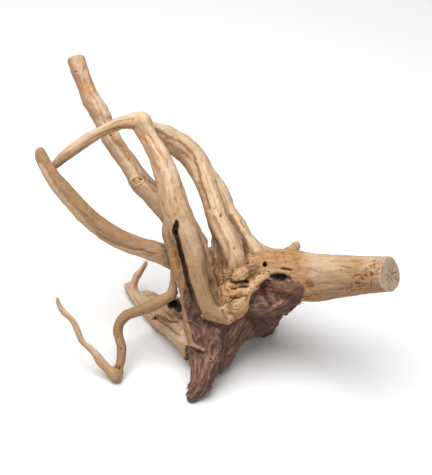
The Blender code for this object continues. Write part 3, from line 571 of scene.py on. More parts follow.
class DriftwoodColours(bpy.types.PropertyGroup):
    """Colours of the wood."""

    tan: bpy.props.FloatVectorProperty(
        name="Tan", description="Sound weathered wood", subtype="COLOR", default=(0.60, 0.40, 0.245)
    )
    # Paler wood on crests, and the colour of painted light on surfaces that face up
    pale: bpy.props.FloatVectorProperty(
        name="Pale", description="Wood that is bleached on its crests",
        subtype="COLOR", default=(0.74, 0.55, 0.375),
    )
    # Orange stains in the grain, and the first step of painted shade in creases, holes and recesses
    honey: bpy.props.FloatVectorProperty(
        name="Honey", description="Orange stain in the grain", subtype="COLOR", default=(0.42, 0.20, 0.07)
    )
    # Greyed wood; on the left branch and the hooked twig it is also painted shade
    greyed: bpy.props.FloatVectorProperty(
        name="Greyed", description="Wood that has greyed with age",
        subtype="COLOR", default=(0.27, 0.168, 0.093),
    )
    # Painted shade: the colour laid on surfaces that face down and on parts in shade
    underside: bpy.props.FloatVectorProperty(
        name="Underside", description="Wood that no light has bleached",
        subtype="COLOR", default=(0.30, 0.175, 0.09),
    )
    golden: bpy.props.FloatVectorProperty(
        name="Golden", description="Golden burl of the crown",
        subtype="COLOR", default=(0.415, 0.215, 0.083),
    )
    dark: bpy.props.FloatVectorProperty(
        name="Dark", description="Purple-brown wood of the root",
        subtype="COLOR", default=(0.09, 0.046, 0.033),
    )
    # Paler fibre crests of the dark wood, and painted light on its surfaces that face up
    dark_pale: bpy.props.FloatVectorProperty(
        name="Dark, bleached", description="Crests of the dark wood",
        subtype="COLOR", default=(0.31, 0.17, 0.115),
    )
    # Red-brown of the wood under the bark, also a painted highlight along the dark lobe's top
    rust: bpy.props.FloatVectorProperty(
        name="Rust", description="Red-brown wood under the bark",
        subtype="COLOR", default=(0.27, 0.11, 0.05),
    )
    # Painted shade in cracks, creases, holes and hollows, and the colour of the darkest stains
    hollow: bpy.props.FloatVectorProperty(
        name="Hollow", description="Dirt in cracks and folds",
        subtype="COLOR", default=(0.075, 0.037, 0.018),
    )
    shadow: bpy.props.FloatVectorProperty(
        name="Shadow", description="Depths of the slot and the root's pocket", subtype="COLOR",
        default=(0.014, 0.007, 0.0035),
    )
    sawn: bpy.props.FloatVectorProperty(
        name="Sawn", description="Sawn end grain", subtype="COLOR", default=(0.52, 0.41, 0.30)
    )


class DriftwoodStudio(bpy.types.PropertyGroup):
    """Floor and lights."""

    floor: bpy.props.FloatVectorProperty(
        name="Floor", description="Colour of the plain floor", subtype="COLOR", default=(0.9, 0.9, 0.9)
    )
    key: bpy.props.FloatProperty(
        name="Key light", description="Power of the soft light overhead", default=37, min=0, unit="POWER"
    )
    fill: bpy.props.FloatProperty(
        name="Room light", description="Strength of the even light around", default=0.3, min=0
    )


def at(across, up, toward):
    """The place, in metres, that an eye in front of the wood sees at this spot of the drawing."""
    nearness = 1 - toward / EYE_DISTANCE
    across = EYE_ACROSS + (across - EYE_ACROSS) * nearness
    up = EYE_UP + (up - EYE_UP) * nearness
    return (FOOT + turned(across, up, toward)) * MM


def turned(across, up, toward):
    """A direction of the drawing as a direction in the room."""
    right = Vector((1, 0, 0))
    rise = Vector((0, math.sin(LEAN), math.cos(LEAN)))
    nearer = Vector((0, -math.cos(LEAN), math.sin(LEAN)))
    return right * across + rise * up + nearer * toward


def drawn(points):
    """Where points in millimetres lie on the drawing: across, up and toward the eye."""
    from_foot = points - np.array(FOOT)
    toward = from_foot @ np.array(turned(0, 0, 1))
    nearness = 1 - toward / EYE_DISTANCE
    across = EYE_ACROSS + (from_foot @ np.array(turned(1, 0, 0)) - EYE_ACROSS) / nearness
    up = EYE_UP + (from_foot @ np.array(turned(0, 1, 0)) - EYE_UP) / nearness
    return across, up, toward


def between(a, b, c, d, share):
    """A smooth curve's value between b and c, where a and d are the values on either side."""
    square = (2 * a - 5 * b + 4 * c - d) * share**2
    cube = (3 * b - a - 3 * c + d) * share**3
    return 0.5 * (2 * b + (c - a) * share + square + cube)


def sampled(route):
    """Points and radii, in metres, a few millimetres apart along a smooth curve through the route."""
    stops = [
        Vector((*at(across, up, toward), (radius + SHRINKAGE) * MM * (1 - toward / EYE_DISTANCE)))
        for across, up, toward, radius in route
    ]
    stops = [stops[0] * 2 - stops[1], *stops, stops[-1] * 2 - stops[-2]]
    found = []
    for a, b, c, d in zip(stops, stops[1:], stops[2:], stops[3:]):
        steps = max(1, round((c - b).xyz.length / MM / SAMPLE_STEP))
        found += [between(a, b, c, d, step / steps) for step in range(steps)]
    return [*found, stops[-2]]


def placed(name, data):
    """An object in the scene."""
    made = bpy.data.objects.new(name, data)
    bpy.context.scene.collection.objects.link(made)
    return made


def finished(thing):
    """A plain mesh of what an object's curve or modifiers make. The object is removed."""
    bpy.context.view_layer.update()
    graph = bpy.context.evaluated_depsgraph_get()
    mesh = bpy.data.meshes.new_from_object(thing.evaluated_get(graph))
    bpy.data.objects.remove(thing)
    return mesh


def fluted_profile(flutes, depth, sides):
    """A closed outline of radius 1 mm with shallow flutes, which a strand is swept with."""
    outline = bpy.data.curves.new(f"profile_{flutes}", "CURVE")
    outline.dimensions = "2D"
    spline = outline.splines.new("POLY")
    spline.points.add(sides - 1)
    for side, point in enumerate(spline.points):
        turn = math.tau * side / sides
        radius = MM * (1 + depth * (math.cos(flutes * turn) + 0.5 * math.cos((flutes - 1) * turn + flutes)))
        point.co = (radius * math.cos(turn), radius * math.sin(turn), 0, 1)
    spline.use_cyclic_u = True
    return placed(outline.name, outline)


def strand(name, route, profile):
    """A mesh swept along a route with a fluted profile."""
    line = bpy.data.curves.new(name, "CURVE")
    line.dimensions = "3D"
    line.bevel_mode = "OBJECT"
    line.bevel_object = profile
    line.use_fill_caps = True
    spline = line.splines.new("POLY")
    samples = sampled(route)
    spline.points.add(len(samples) - 1)
    for point, sample in zip(spline.points, samples):
        point.co = (*sample.xyz, 1)
        point.radius = sample.w / MM
    return finished(placed(name, line))


def joined(name, meshes):
    """One mesh of several, with the caps of each welded on."""
    welded = bmesh.new()
    for mesh in meshes:
        welded.from_mesh(mesh)
        bpy.data.meshes.remove(mesh)
    bmesh.ops.remove_doubles(welded, verts=welded.verts, dist=0.00001)
    bmesh.ops.recalc_face_normals(welded, faces=welded.faces)
    mesh = bpy.data.meshes.new(name)
    welded.to_mesh(mesh)
    welded.free()
    return mesh


def remeshed(thing, cell, passes):
    """Adds an even skin of a cell size to an object, then smooths it."""
    fuse = thing.modifiers.new("fuse", "REMESH")
    fuse.mode = "VOXEL"
    fuse.voxel_size = cell * MM
    smooth = thing.modifiers.new("smooth", "SMOOTH")
    smooth.factor = 0.5
    smooth.iterations = passes


def solid(name, shape, cutters):
    """A cutter made of a finished bmesh."""
    mesh = bpy.data.meshes.new(name)
    shape.to_mesh(mesh)
    shape.free()
    made = placed(name, mesh)
    cutters.objects.link(made)
    return made


def wall(name, route, thickness, cutters):
    """A cutter as thick as the gap it opens, along a route and from near the eye in to each far reach."""
    shape = bmesh.new()
    front = [shape.verts.new(at(across, up, WALL_NEAR)) for across, up, far in route]
    back = [shape.verts.new(at(across, up, far)) for across, up, far in route]
    for corners in zip(front, front[1:], back[1:], back):
        shape.faces.new(corners)
    bmesh.ops.triangulate(shape, faces=shape.faces)
    thicken = solid(name, shape, cutters).modifiers.new("thickness", "SOLIDIFY")
    thicken.thickness = thickness * MM
    thicken.offset = 0


def cut_open(wood):
    """Cuts the sawn ends, the crack, the hollows and the ground out of the wood."""
    cutters = bpy.data.collections.new("cutters")
    half = SAW_DEPTH / 2 * MM
    for name, (middle, direction) in SAWN_ENDS.items():
        outward = turned(*direction).normalized()
        shape = bmesh.new()
        bmesh.ops.create_cone(
            shape, cap_ends=True, segments=PROFILE_SIDES, radius1=half, radius2=half, depth=SAW_DEPTH * MM
        )
        block = solid(name, shape, cutters)
        block.location = at(*middle) + outward * half
        block.rotation_mode = "QUATERNION"
        block.rotation_quaternion = outward.to_track_quat("Z", "Y")
    wall("crack", CRACK, CRACK_WIDTH, cutters)
    wall("gap", ARCH_GAP, GAP_WIDTH, cutters)
    round_profile = fluted_profile(0, 0, HOLLOW_SIDES)
    for name, route in HOLLOWS.items():
        cutters.objects.link(placed(name, joined(name, [strand(name, route, round_profile)])))
    ground = bmesh.new()
    bmesh.ops.create_cube(ground, size=GROUND_SIZE * MM)
    solid("ground", ground, cutters).location.z = -GROUND_SIZE / 2 * MM
    cut = wood.modifiers.new("cuts", "BOOLEAN")
    cut.operation = "DIFFERENCE"
    cut.operand_type = "COLLECTION"
    cut.collection = cutters
    cut.solver = "EXACT"
    mesh = finished(wood)
    for cutter in [*cutters.objects, round_profile]:
        bpy.data.objects.remove(cutter)
    bpy.data.collections.remove(cutters)
    return mesh


def bare_skin(shape):
    """All strands fused to one closed lumpy skin of small quads, with its hollows cut."""
    profiles = [fluted_profile(flutes, FLUTE_DEPTH, PROFILE_SIDES) for flutes in (3, 4, 5)]
    named = zip(STRANDS.items(), cycle(profiles))
    swept = [strand(name, route, profile) for (name, route), profile in named]
    whole = placed("whole", joined("whole", swept))
    remeshed(whole, shape.coarse_cell, ROUGH_SMOOTHING)
    clouds = bpy.data.textures.new("lumps", "CLOUDS")
    clouds.noise_scale = LUMP_SIZE * MM
    lumps = whole.modifiers.new("lumps", "DISPLACE")
    lumps.texture = clouds
    lumps.strength = LUMP_HEIGHT * MM
    cut = placed("cut", cut_open(placed("lumpy", finished(whole))))
    for profile in profiles:
        bpy.data.objects.remove(profile)
    remeshed(cut, shape.fine_cell, FINE_SMOOTHING)
    return without_crumbs(finished(cut))


def smoothstep(low, high, value):
    """0 below low, 1 above high, and an even rise between them."""
    share = np.clip((value - low) / (high - low), 0, 1)
    return share * share * (3 - 2 * share)


def smooth_noise(places, seed, octaves=1):
    """Smooth noise, about -1 to 1, at places measured in cells. Each octave is half as large."""
    table = np.random.default_rng(seed).uniform(-1.6, 1.6, (NOISE_CELLS,) * 3).astype(np.float32)
    total = np.zeros(places.shape[:-1], np.float32)
    heights = 0
    for octave in range(octaves):
        spots = places * 2**octave + 7.31 * octave
        low = np.floor(spots).astype(np.int32)
        share = (spots - low).astype(np.float32)
        share = share * share * (3 - 2 * share)
        x0, y0, z0 = np.moveaxis(low % NOISE_CELLS, -1, 0)
        x1, y1, z1 = np.moveaxis((low + 1) % NOISE_CELLS, -1, 0)
        sx, sy, sz = np.moveaxis(share, -1, 0)
        bottom = table[x0, y0, z0] * (1 - sx) + table[x1, y0, z0] * sx
        bottom = bottom * (1 - sy) + (table[x0, y1, z0] * (1 - sx) + table[x1, y1, z0] * sx) * sy
        top = table[x0, y0, z1] * (1 - sx) + table[x1, y0, z1] * sx
        top = top * (1 - sy) + (table[x0, y1, z1] * (1 - sx) + table[x1, y1, z1] * sx) * sy
        total += (bottom * (1 - sz) + top * sz) * 0.5**octave
        heights += 0.5**octave
    return total / heights


def knots_noise(places, seed):
    """Distance in cells from each place to the nearest of many scattered middles."""
    jitter = np.random.default_rng(seed).random((*(NOISE_CELLS,) * 3, 3)).astype(np.float32)
    whole = np.floor(places).astype(np.int32)
    nearest = np.full(places.shape[:-1], 9.0, np.float32)
    for step in np.ndindex(3, 3, 3):
        cell = whole + np.array(step) - 1
        x, y, z = np.moveaxis(cell % NOISE_CELLS, -1, 0)
        gap = cell + jitter[x, y, z] - places
        nearest = np.minimum(nearest, np.einsum("ij,ij->i", gap, gap))
    return np.sqrt(nearest)


def softened(values, edges, passes):
    """Values at the skin's points, evened out between neighbours."""
    count = len(values)
    ends = np.concatenate([edges[:, 0], edges[:, 1]])
    others = np.concatenate([edges[:, 1], edges[:, 0]])
    degree = np.bincount(ends, minlength=count).clip(1)
    columns = values.reshape(count, -1).astype(float)
    for _ in range(passes):
        for column in range(columns.shape[1]):
            around = np.bincount(ends, weights=columns[others, column], minlength=count) / degree
            columns[:, column] = (columns[:, column] + around) / 2
    return columns.reshape(values.shape)


def spread_out(points, values, reach):
    """Values at points, blended in the room over about a reach in millimetres."""
    cells = (points - points.min(axis=0)) / reach + 1
    nearest = np.round(cells).astype(int)
    shape = tuple(nearest.max(axis=0) + 2)
    sums = []
    for amount in (values, np.ones(len(points))):
        grid = np.zeros(shape)
        np.add.at(grid, tuple(nearest.T), amount)
        for axis in range(3):
            grid = (np.roll(grid, 1, axis) + 2 * grid + np.roll(grid, -1, axis)) / 4
        low = np.floor(cells).astype(int)
        share = cells - low
        total = np.zeros(len(points))
        for corner in np.ndindex(2, 2, 2):
            weight = np.prod(np.where(corner, share, 1 - share), axis=1)
            total += weight * grid[tuple((low + corner).T)]
        sums.append(total)
    return sums[0] / sums[1].clip(1e-9)


class Line:
    """One strand's middle line in millimetres, with directions across it that don't twist."""

    def __init__(self, route):
        samples = sampled(route)
        self.middle = np.array([sample.xyz for sample in samples]) / MM
        self.radius = np.array([sample.w for sample in samples]) / MM
        steps = np.linalg.norm(np.diff(self.middle, axis=0), axis=1)
        self.length = np.concatenate([[0], np.cumsum(steps)])
        tangent = np.gradient(self.middle, axis=0)
        self.tangent = tangent / np.linalg.norm(tangent, axis=1)[:, None]
        side = np.cross(self.tangent[0], (0.3, 0.2, 0.93))
        sides = []
        for direction in self.tangent:
            side = side - direction * side.dot(direction)
            side /= np.linalg.norm(side)
            sides.append(side)
        self.side = np.array(sides)
        self.other_side = np.cross(self.tangent, self.side)

    def places(self, points):
        """Each point's two distances across the strand and one along it, and the direction there."""
        gaps = np.linalg.norm(points[:, None] - self.middle[None], axis=2)
        nearest = gaps.argmin(axis=1)
        best = np.full(len(points), 1e9)
        found = np.zeros((len(points), 3))
        direction = np.zeros((len(points), 3))
        for first in (np.maximum(nearest - 1, 0), np.minimum(nearest, len(self.middle) - 2)):
            span = self.middle[first + 1] - self.middle[first]
            length = np.einsum("ij,ij->i", span, span)
            offset = points - self.middle[first]
            share = np.clip(np.einsum("ij,ij->i", offset, span) / length, 0, 1)[:, None]
            offset = offset - span * share
            gap = np.einsum("ij,ij->i", offset, offset)
            side = self.side[first] * (1 - share) + self.side[first + 1] * share
            other = self.other_side[first] * (1 - share) + self.other_side[first + 1] * share
            along = self.length[first] + share[:, 0] * np.sqrt(length)
            across = np.einsum("ij,ij->i", offset, side)
            beside = np.einsum("ij,ij->i", offset, other)
            closer = gap < best
            best = np.where(closer, gap, best)
            found[closer] = np.stack([across, beside, along], axis=1)[closer]
            direction[closer] = (span / np.sqrt(length)[:, None])[closer]
        return found, direction


class Grain:
    """For each point of the skin, its places in the strands it lies on, and how far each strand counts."""

    def __init__(self, points, seed):
        self.seed = seed
        lines = [Line(route) for route in STRANDS.values()]
        middle = np.concatenate([line.middle for line in lines]).astype(np.float32)
        radius = np.concatenate([line.radius for line in lines]).astype(np.float32)
        starts = np.cumsum([0] + [len(line.middle) for line in lines[:-1]])
        depth = np.empty((len(points), len(lines)), np.float32)
        for start in range(0, len(points), ROWS_AT_ONCE):
            rows = points[start:start + ROWS_AT_ONCE].astype(np.float32)
            square = (rows**2).sum(axis=1)[:, None] + (middle**2).sum(axis=1)[None] - 2 * rows @ middle.T
            gaps = np.sqrt(square.clip(0)) - radius
            depth[start:start + ROWS_AT_ONCE] = np.minimum.reduceat(gaps, starts, axis=1)
        self.strands = np.argsort(depth, axis=1)[:, :SHARED_STRANDS]
        gaps = np.take_along_axis(depth, self.strands, axis=1)
        weight = np.exp(-(gaps - gaps[:, :1]) / GRAIN_BLEND)
        self.weight = weight / weight.sum(axis=1)[:, None]
        self.place = np.zeros((len(points), SHARED_STRANDS, 3))
        self.along = np.zeros((len(points), 3))
        for number, line in enumerate(lines):
            rows, ranks = np.nonzero(self.strands == number)
            for start in range(0, len(rows), ROWS_AT_ONCE):
                some = rows[start:start + ROWS_AT_ONCE]
                rank = ranks[start:start + ROWS_AT_ONCE]
                place, direction = line.places(points[some])
                self.place[some, rank] = place + np.array(STRAND_SHIFT) * number
                first = rank == 0
                self.along[some[first]] = direction[first]
        wander = [smooth_noise(points / WANDER_SIZE, seed + part) for part in range(3)]
        self.wander = np.stack(wander, axis=1) * (1, 1, 2)

    def share(self, *names):
        """From 0 to 1, how far each point belongs to the named strands."""
        chosen = np.isin(list(STRANDS), names)
        return (chosen[self.strands] * self.weight).sum(axis=1)

    def noise(self, name, swirl, form=None):
        """A noise drawn out along the grain. Swirl is how far, in millimetres, the grain wanders."""
        number, wide, long, octaves = GRAIN_NOISES[name]
        places = self.place + (self.wander * np.asarray(swirl).reshape(-1, 1))[:, None]
        value = smooth_noise(places / (wide, wide, long), self.seed + number, octaves)
        if form:
            value = form(value)
        return (value * self.weight).sum(axis=1)


def creased(value):
    """Narrow lines, from 0 to 1, where noise goes through nought."""
    return (1 - np.abs(value).clip(0, 1)) ** 6


def ridged(steepness):
    """Ridges as high as 1 where noise goes through nought, with even slopes of this steepness."""
    return lambda value: 1 - np.abs(value) * steepness


def near_route(across, up, route):
    """Distance on the drawing from each spot to a broken line."""
    best = np.full(len(across), 1e9)
    for (a, b), (c, d) in zip(route, route[1:]):
        square = (c - a) ** 2 + (d - b) ** 2
        share = np.clip(((across - a) * (c - a) + (up - b) * (d - b)) / square, 0, 1)
        best = np.minimum(best, np.hypot(across - a - share * (c - a), up - b - share * (d - b)))
    return best


def inside_outline(across, up, outline):
    """Whether each spot of the drawing lies inside a closed outline."""
    inside = np.zeros(len(across), bool)
    for (a, b), (c, d) in zip(outline, [*outline[1:], outline[0]]):
        if b != d:
            passed = (b > up) != (d > up)
            inside ^= passed & (across < a + (up - b) * (c - a) / (d - b))
    return inside


class Wear:
    """What weather does to the skin: its height over the bare skin, and the masks that colour it, painted
    light and shade among them.
    """

    def __init__(self, points, normals, edges, branch, shape):
        self.points = points
        self.edges = edges
        self.shape = shape
        self.grain = Grain(points, shape.seed)
        self.across, self.up, self.toward = drawn(points)
        rags = (self.cloud("rags_across") * RAGGED_REACH, self.cloud("rags_up") * RAGGED_REACH)
        self.spot = (self.across + rags[0], self.up + rags[1])
        toward_eye = normals @ np.array(turned(0, 0, 1))
        self.facing = smoothstep(0.05, 0.3, toward_eye)
        for field in ("rust", "stain", "height", "sawn", "ring", "spoke"):
            setattr(self, field, np.zeros(len(points)))
        self.find_dark(smoothstep(-0.5, -0.3, toward_eye))
        drift = self.cloud("drift")
        self.find_burl(drift)
        self.find_age(normals, np.array([aged for _, aged in BRANCHES.values()])[branch], drift)

    def cloud(self, name):
        """A smooth noise that doesn't follow the grain."""
        number, size, octaves = CLOUD_NOISES[name]
        return smooth_noise(self.points / size, self.shape.seed + number, octaves)

    def knots(self, name):
        """Distance, in cells, to the nearest of many scattered middles."""
        number, size, push = KNOT_NOISES[name]
        return knots_noise((self.points + self.grain.wander * push) / size, self.shape.seed + number)

    def reached(self, low, high):
        """Whether each point lies between two reaches toward the eye."""
        return (self.toward > low) & (self.toward < high)

    def patch(self, name):
        """From 0 to 1, how far each point lies in the named ragged patches of the drawing."""
        inside = np.zeros(len(self.points))
        low, high, places = PATCHES[name]
        for across, up, radius in places:
            gap = np.hypot(self.spot[0] - across, self.spot[1] - up)
            inside = np.maximum(inside, smoothstep(radius * 1.15, radius * 0.75, gap))
        return inside * self.reached(low, high) * self.facing

    def mark(self, field, amount):
        """Raises one of the masks to an amount wherever it is lower."""
        setattr(self, field, np.maximum(getattr(self, field), amount))

    def find_dark(self, front):
        """Marks the dark wood: by its outline where it faces the eye, and by its strands elsewhere."""
        inside = inside_outline(*self.spot, DARK_OUTLINE)
        gap = near_route(*self.spot, [*DARK_OUTLINE, DARK_OUTLINE[0]])
        drawn_dark = smoothstep(-0.6, 0.6, np.where(inside, gap, -gap))
        strands_dark = smoothstep(0.35, 0.65, self.grain.share(*DARK_STRANDS))
        self.dark = softened(drawn_dark * front + strands_dark * (1 - front), self.edges, 1)

    def find_burl(self, drift):
        """Marks the golden burl, and the knotty heart of it."""
        share = self.grain.share
        crown = share(*BURL_STRANDS)
        self.knotty = smoothstep(0.25, 0.95, crown + 0.15 * drift) * (1 - self.dark)
        crown += 0.9 * share(*STOCK_STRANDS) * smoothstep(136, 104, self.across)
        crown += 0.55 * share("back_arch", "back_rib", "inner_rib") * smoothstep(160, 136, self.up)
        burl = smoothstep(0.25, 0.95, crown + 0.2 * drift) * (1 - self.dark)
        self.burl = burl * (1 - 0.55 * self.patch("crust"))

    def find_age(self, normals, aged, drift):
        """Marks painted light and shade, lighter on faces that look up, and marks the wood that has greyed.
        """
        share, up = self.grain.share, self.up
        high = smoothstep(190, 230, up)
        # Painted light on the upper arches, the tall branch and the low root
        upper = share("back_arch") * high + 0.5 * share("front_arch") * high
        upper += 0.6 * share("tall_branch") + 1.2 * share("low_root", "low_fork")
        left = share("left_branch", "left_bump")
        rim = smoothstep(4.6, 1.8, near_route(*self.spot, LEFT_RIM)) * left
        lip = share(*LIP_STRANDS) * smoothstep(172, 160, up) * smoothstep(60, 95, up)
        # Painted shade on the left branch away from its rim, on the lip, the twigs and the lower front arch
        shaded = 0.4 * left * (1 - rim) + 0.8 * lip + 0.4 * share(*TWIG_STRANDS)
        shaded += 0.4 * share("front_arch") * smoothstep(150, 110, up)
        # Painted light where the skin faces up, and painted shade where it faces down
        level = smoothstep(-0.5, 1.05, softened(normals[:, 2], self.edges, 8))
        self.bleached = np.clip(level + 0.45 * upper + 0.5 * rim - shaded, 0, 1)
        leg = share("front_arch", *LIP_STRANDS) * smoothstep(175, 115, up)
        top = share("tall_branch") * smoothstep(270, 325, up)
        # The left branch's rim also greys less, to go with its painted light
        greyed = spread_out(self.points, aged, AGE_REACH) + 0.9 * leg + 0.4 * top + 0.15 * drift - 0.6 * rim
        self.greyed = np.clip(greyed, 0, 1)

    def find_ends(self):
        """Marks the sawn faces, with the distance and direction of each point from the pith."""
        for middle, direction in SAWN_ENDS.values():
            outward = np.array(turned(*direction).normalized())
            from_pith = self.points - np.array(at(*middle)) / MM
            depth = from_pith @ outward
            flat = from_pith - depth[:, None] * outward
            radius = np.linalg.norm(flat, axis=1)
            here = (depth > -END_DEPTH) & (radius < END_RADIUS)
            aside = np.cross(outward, (0, 0, 1))
            aside /= np.linalg.norm(aside)
            turn = np.arctan2(flat @ np.cross(outward, aside), flat @ aside)
            self.sawn = np.where(here, smoothstep(-1.5, -0.75, depth), self.sawn)
            self.ring = np.where(here, radius, self.ring)
            self.spoke = np.where(here, turn, self.spoke)

    def wear_grain(self):
        """Broad flutes, narrow grooves and fine grain along every branch."""
        shape, noise = self.shape, self.grain.noise
        swirl = 1.2 + 3.5 * self.knotty + 2 * self.dark
        sound = 1 - 0.6 * self.burl - 0.5 * self.dark
        patchy = smoothstep(-0.35, 0.35, self.cloud("groove_patches"))
        grooves = noise("grooves", swirl, creased)
        self.height += shape.flute * sound * noise("flutes", swirl)
        self.height -= shape.groove * sound * patchy * grooves
        self.height += shape.grain * noise("fine_grain", swirl)
        self.height += 0.35 * self.cloud("dents")
        self.stain += 0.75 * patchy * smoothstep(0.35, 0.95, grooves) * sound
        streak = noise("broad_streaks", swirl) + 0.55 * noise("thin_streaks", swirl)
        self.streak = smoothstep(0.0, 0.75, streak)
        self.stain += 0.5 * smoothstep(0.45, 0.9, noise("flecks", swirl)) * patchy

    def wear_burl(self):
        """Knotty figure, small folds and pits on the crown, and pebbles on its rim."""
        small = self.knots("pits")
        pebbles = self.knots("pebbles")
        folds = self.grain.noise("folds", 4, ridged(1.6))
        rough = smoothstep(-0.3, 0.4, self.cloud("rough_burl"))
        figure = 0.55 * folds + rough * (0.5 - self.knots("knots")) + 0.22 * (0.5 - small)
        recess = self.patch("recess")
        crust = self.patch("crust")
        pits = smoothstep(0.34, 0.12, small) * rough
        knotty = 0.8 * self.knotty + 0.2 * self.burl
        self.height += self.shape.burl * (1 - 0.65 * recess) * knotty * figure
        self.height -= 0.5 * self.knotty * pits
        self.height -= 1.7 * crust * (pebbles - 0.3)
        # Painted shade in the gaps between the crust's pebbles
        self.stain += 0.9 * crust * smoothstep(0.5, 0.85, pebbles)
        # Painted shade in the burl's pits and low figure, and in the crown's recess
        self.stain += self.burl * (0.45 * pits + 0.4 * smoothstep(0.1, -0.35, figure)) + 0.5 * recess

    def wear_dark_root(self):
        """Torn fibres that flow and swirl over the dark wood, and curl round the lobe's eye."""
        broad = self.grain.noise("fibres", 5, ridged(1.8))
        fine = self.grain.noise("thin_fibres", 5, ridged(1.8))
        hollows = self.cloud("root_hollows")
        eye = np.hypot((self.across - LOBE_EYE[0]) / 1.5, self.up - LOBE_EYE[1])
        rings = np.sin(eye * 1.9 + 2.5 * self.cloud("curl"))
        lobe = smoothstep(16, 8, eye) * (self.toward > -30)
        flow = broad * (1 - 0.6 * lobe) + 0.3 * rings * lobe
        fibres = 0.6 * flow + 0.3 * (1 - 0.5 * lobe) * fine + 0.7 * hollows - 0.25
        self.height += self.shape.fibre * self.dark * fibres
        self.dark_pale = smoothstep(0.3, 1.05, 0.55 * flow + 0.75 * fine + 0.12 * hollows)

    def wear_marks(self):
        """The creases, folds, holes and patches that are listed."""
        for depth, half, low, high, route in CREASES.values():
            gap = near_route(*self.spot, route)
            line = smoothstep(half * 1.9, 0, gap) * self.facing * self.reached(low, high)
            self.height -= depth * line
            # Painted shade in each crease, and none on folds
            if depth > 0:
                self.mark("stain", min(1.3, 0.1 + depth * 0.55) * line)
        for across, up, radius, depth, low, high in PITS:
            gap = np.hypot(self.across - across, self.up - up)
            hole = smoothstep(radius * 1.5, radius * 0.3, gap) * self.facing * self.reached(low, high)
            self.height -= depth * hole
            # Painted shade inside each hole
            self.mark("stain", 1.25 * hole)
        self.chip = self.patch("chipped") * (1 - self.patch("whole_plate")) * (1 - self.sawn)
        flakes = self.knots("flakes")
        rust = self.patch("lip_rust")
        sound = 1 - self.dark
        self.height -= self.chip * (0.3 + 1.7 * flakes)
        # Painted shade between the chipped flakes
        self.mark("stain", 1.12 * self.chip * smoothstep(0.3, 0.8, flakes))
        self.mark("stain", rust * 0.8 * self.streak)
        self.mark("stain", 0.7 * self.patch("honeyed"))
        # Painted shade, streaky, in the corner where the trunk meets the dark lobe, and darker streaks
        # below the chipped bark
        for name in ("smudged", "smudged_below"):
            self.mark("stain", (0.56 + 0.44 * self.streak) * self.patch(name) * sound)
        # Painted shadow in the root's pocket, the slot and the top of the crack
        for name in ("root_pocket", "slot", "crack_top"):
            self.mark("stain", 2 * self.patch(name))
        # Red-brown on the foot, and a painted highlight along the dark lobe's top
        self.mark("rust", self.patch("dark_rust") * 0.8)
        self.mark("rust", rust * (0.3 + 0.5 * self.streak))
        # Painted shade, grey, in the corner where the trunk meets the dark lobe
        self.mark("greyed", self.patch("greyed_root") * sound)

    def wear_ends(self):
        """Saw marks and drying cracks on the sawn ends."""
        rough = self.cloud("saw_marks")
        cracks = np.zeros(len(self.points))
        for turn, start, end in END_CRACKS:
            aside = np.abs(np.sin(self.spoke - turn)) * self.ring + 0.35 * rough
            forward = (np.cos(self.spoke - turn) > 0) & (self.ring > start) & (self.ring < end)
            cracks = np.maximum(cracks, smoothstep(0.6, 0.05, aside) * forward)
        self.height = self.height * (1 - 0.9 * self.sawn) - self.sawn * (0.9 * cracks - 0.12 * rough)
        # Painted shade in the sawn ends' drying cracks
        self.stain = self.stain * (1 - self.sawn) + self.sawn * cracks

    def find_hollows(self, moved, normals):
        """From 0 to 1, how deep each point lies under its surroundings, which is painted shade, and how far
        it stands out.
        """
        fine = softened(moved, self.edges, 6)
        broad = softened(fine, self.edges, 24)
        around = np.stack([spread_out(moved, moved[:, part], HOLLOW_REACH) for part in range(3)], axis=1)
        sunk, low, wide = (((level - moved) * normals).sum(axis=1) for level in (fine, broad, around))
        wide -= np.median(wide)
        self.crest = smoothstep(0.02, 0.6, -sunk * 1.5 - low * 0.4)
        self.hollow = smoothstep(0.02, 0.75, sunk * 1.5 + low * 0.5) * 0.6
        self.hollow += smoothstep(0.3, 2.6, wide) * 0.6
        # More painted shade on the stock, twigs and lips where no painted light falls, and a flat darkening
        # of the stock's burl
        stock = self.grain.share(*STOCK_STRANDS)
        shaded_wood = (stock + self.grain.share(*TWIG_STRANDS, *LIP_STRANDS)) * (1 - self.sawn) * (1 - self.dark)
        self.hollow += 0.13 * shaded_wood * smoothstep(0.99, 0.8, self.bleached)
        self.hollow += 0.14 * self.burl * stock

    def torn(self):
        """From 0 to 1, how thickly slivers stand up from the wood."""
        edge = 4 * self.dark * (1 - self.dark)
        torn = 0.1 * self.dark + 0.6 * edge + 0.8 * self.chip
        return np.clip(torn, 0, 1) * (self.points[:, 2] > 4)


def nearest_branches(points):
    """The number of the branch whose solid is nearest to each point in metres."""
    corners = []
    faces = []
    owners = []
    for number, name in enumerate(BRANCH_NAMES):
        mesh = frame["nodes"][name].data
        start = len(corners)
        corners += [vertex.co for vertex in mesh.vertices]
        faces += [[start + corner for corner in face.vertices] for face in mesh.polygons]
        owners += [number] * len(mesh.polygons)
    tree = BVHTree.FromPolygons(corners, faces)
    return np.array([owners[tree.find_nearest(point)[2]] for point in points.tolist()])


def evened(branch, faces, count, rounds):
    """Branch numbers of faces, after each face has followed most of its neighbours a few times."""
    for _ in range(rounds):
        votes = np.zeros((count, len(BRANCH_NAMES)))
        np.add.at(votes, (faces.ravel(), np.repeat(branch, faces.shape[1])), 1)
        branch = votes[faces].sum(axis=1).argmax(axis=1)
    return branch


def islands(count, pairs):
    """For each of a number of things, the lowest number in its island. Pairs are things that touch."""
    island = np.arange(count)
    while True:
        lowest = island.copy()
        np.minimum.at(lowest, pairs[:, 0], island[pairs[:, 1]])
        np.minimum.at(lowest, pairs[:, 1], island[pairs[:, 0]])
        lowest = lowest[lowest]
        if (lowest == island).all():
            return island
        island = lowest


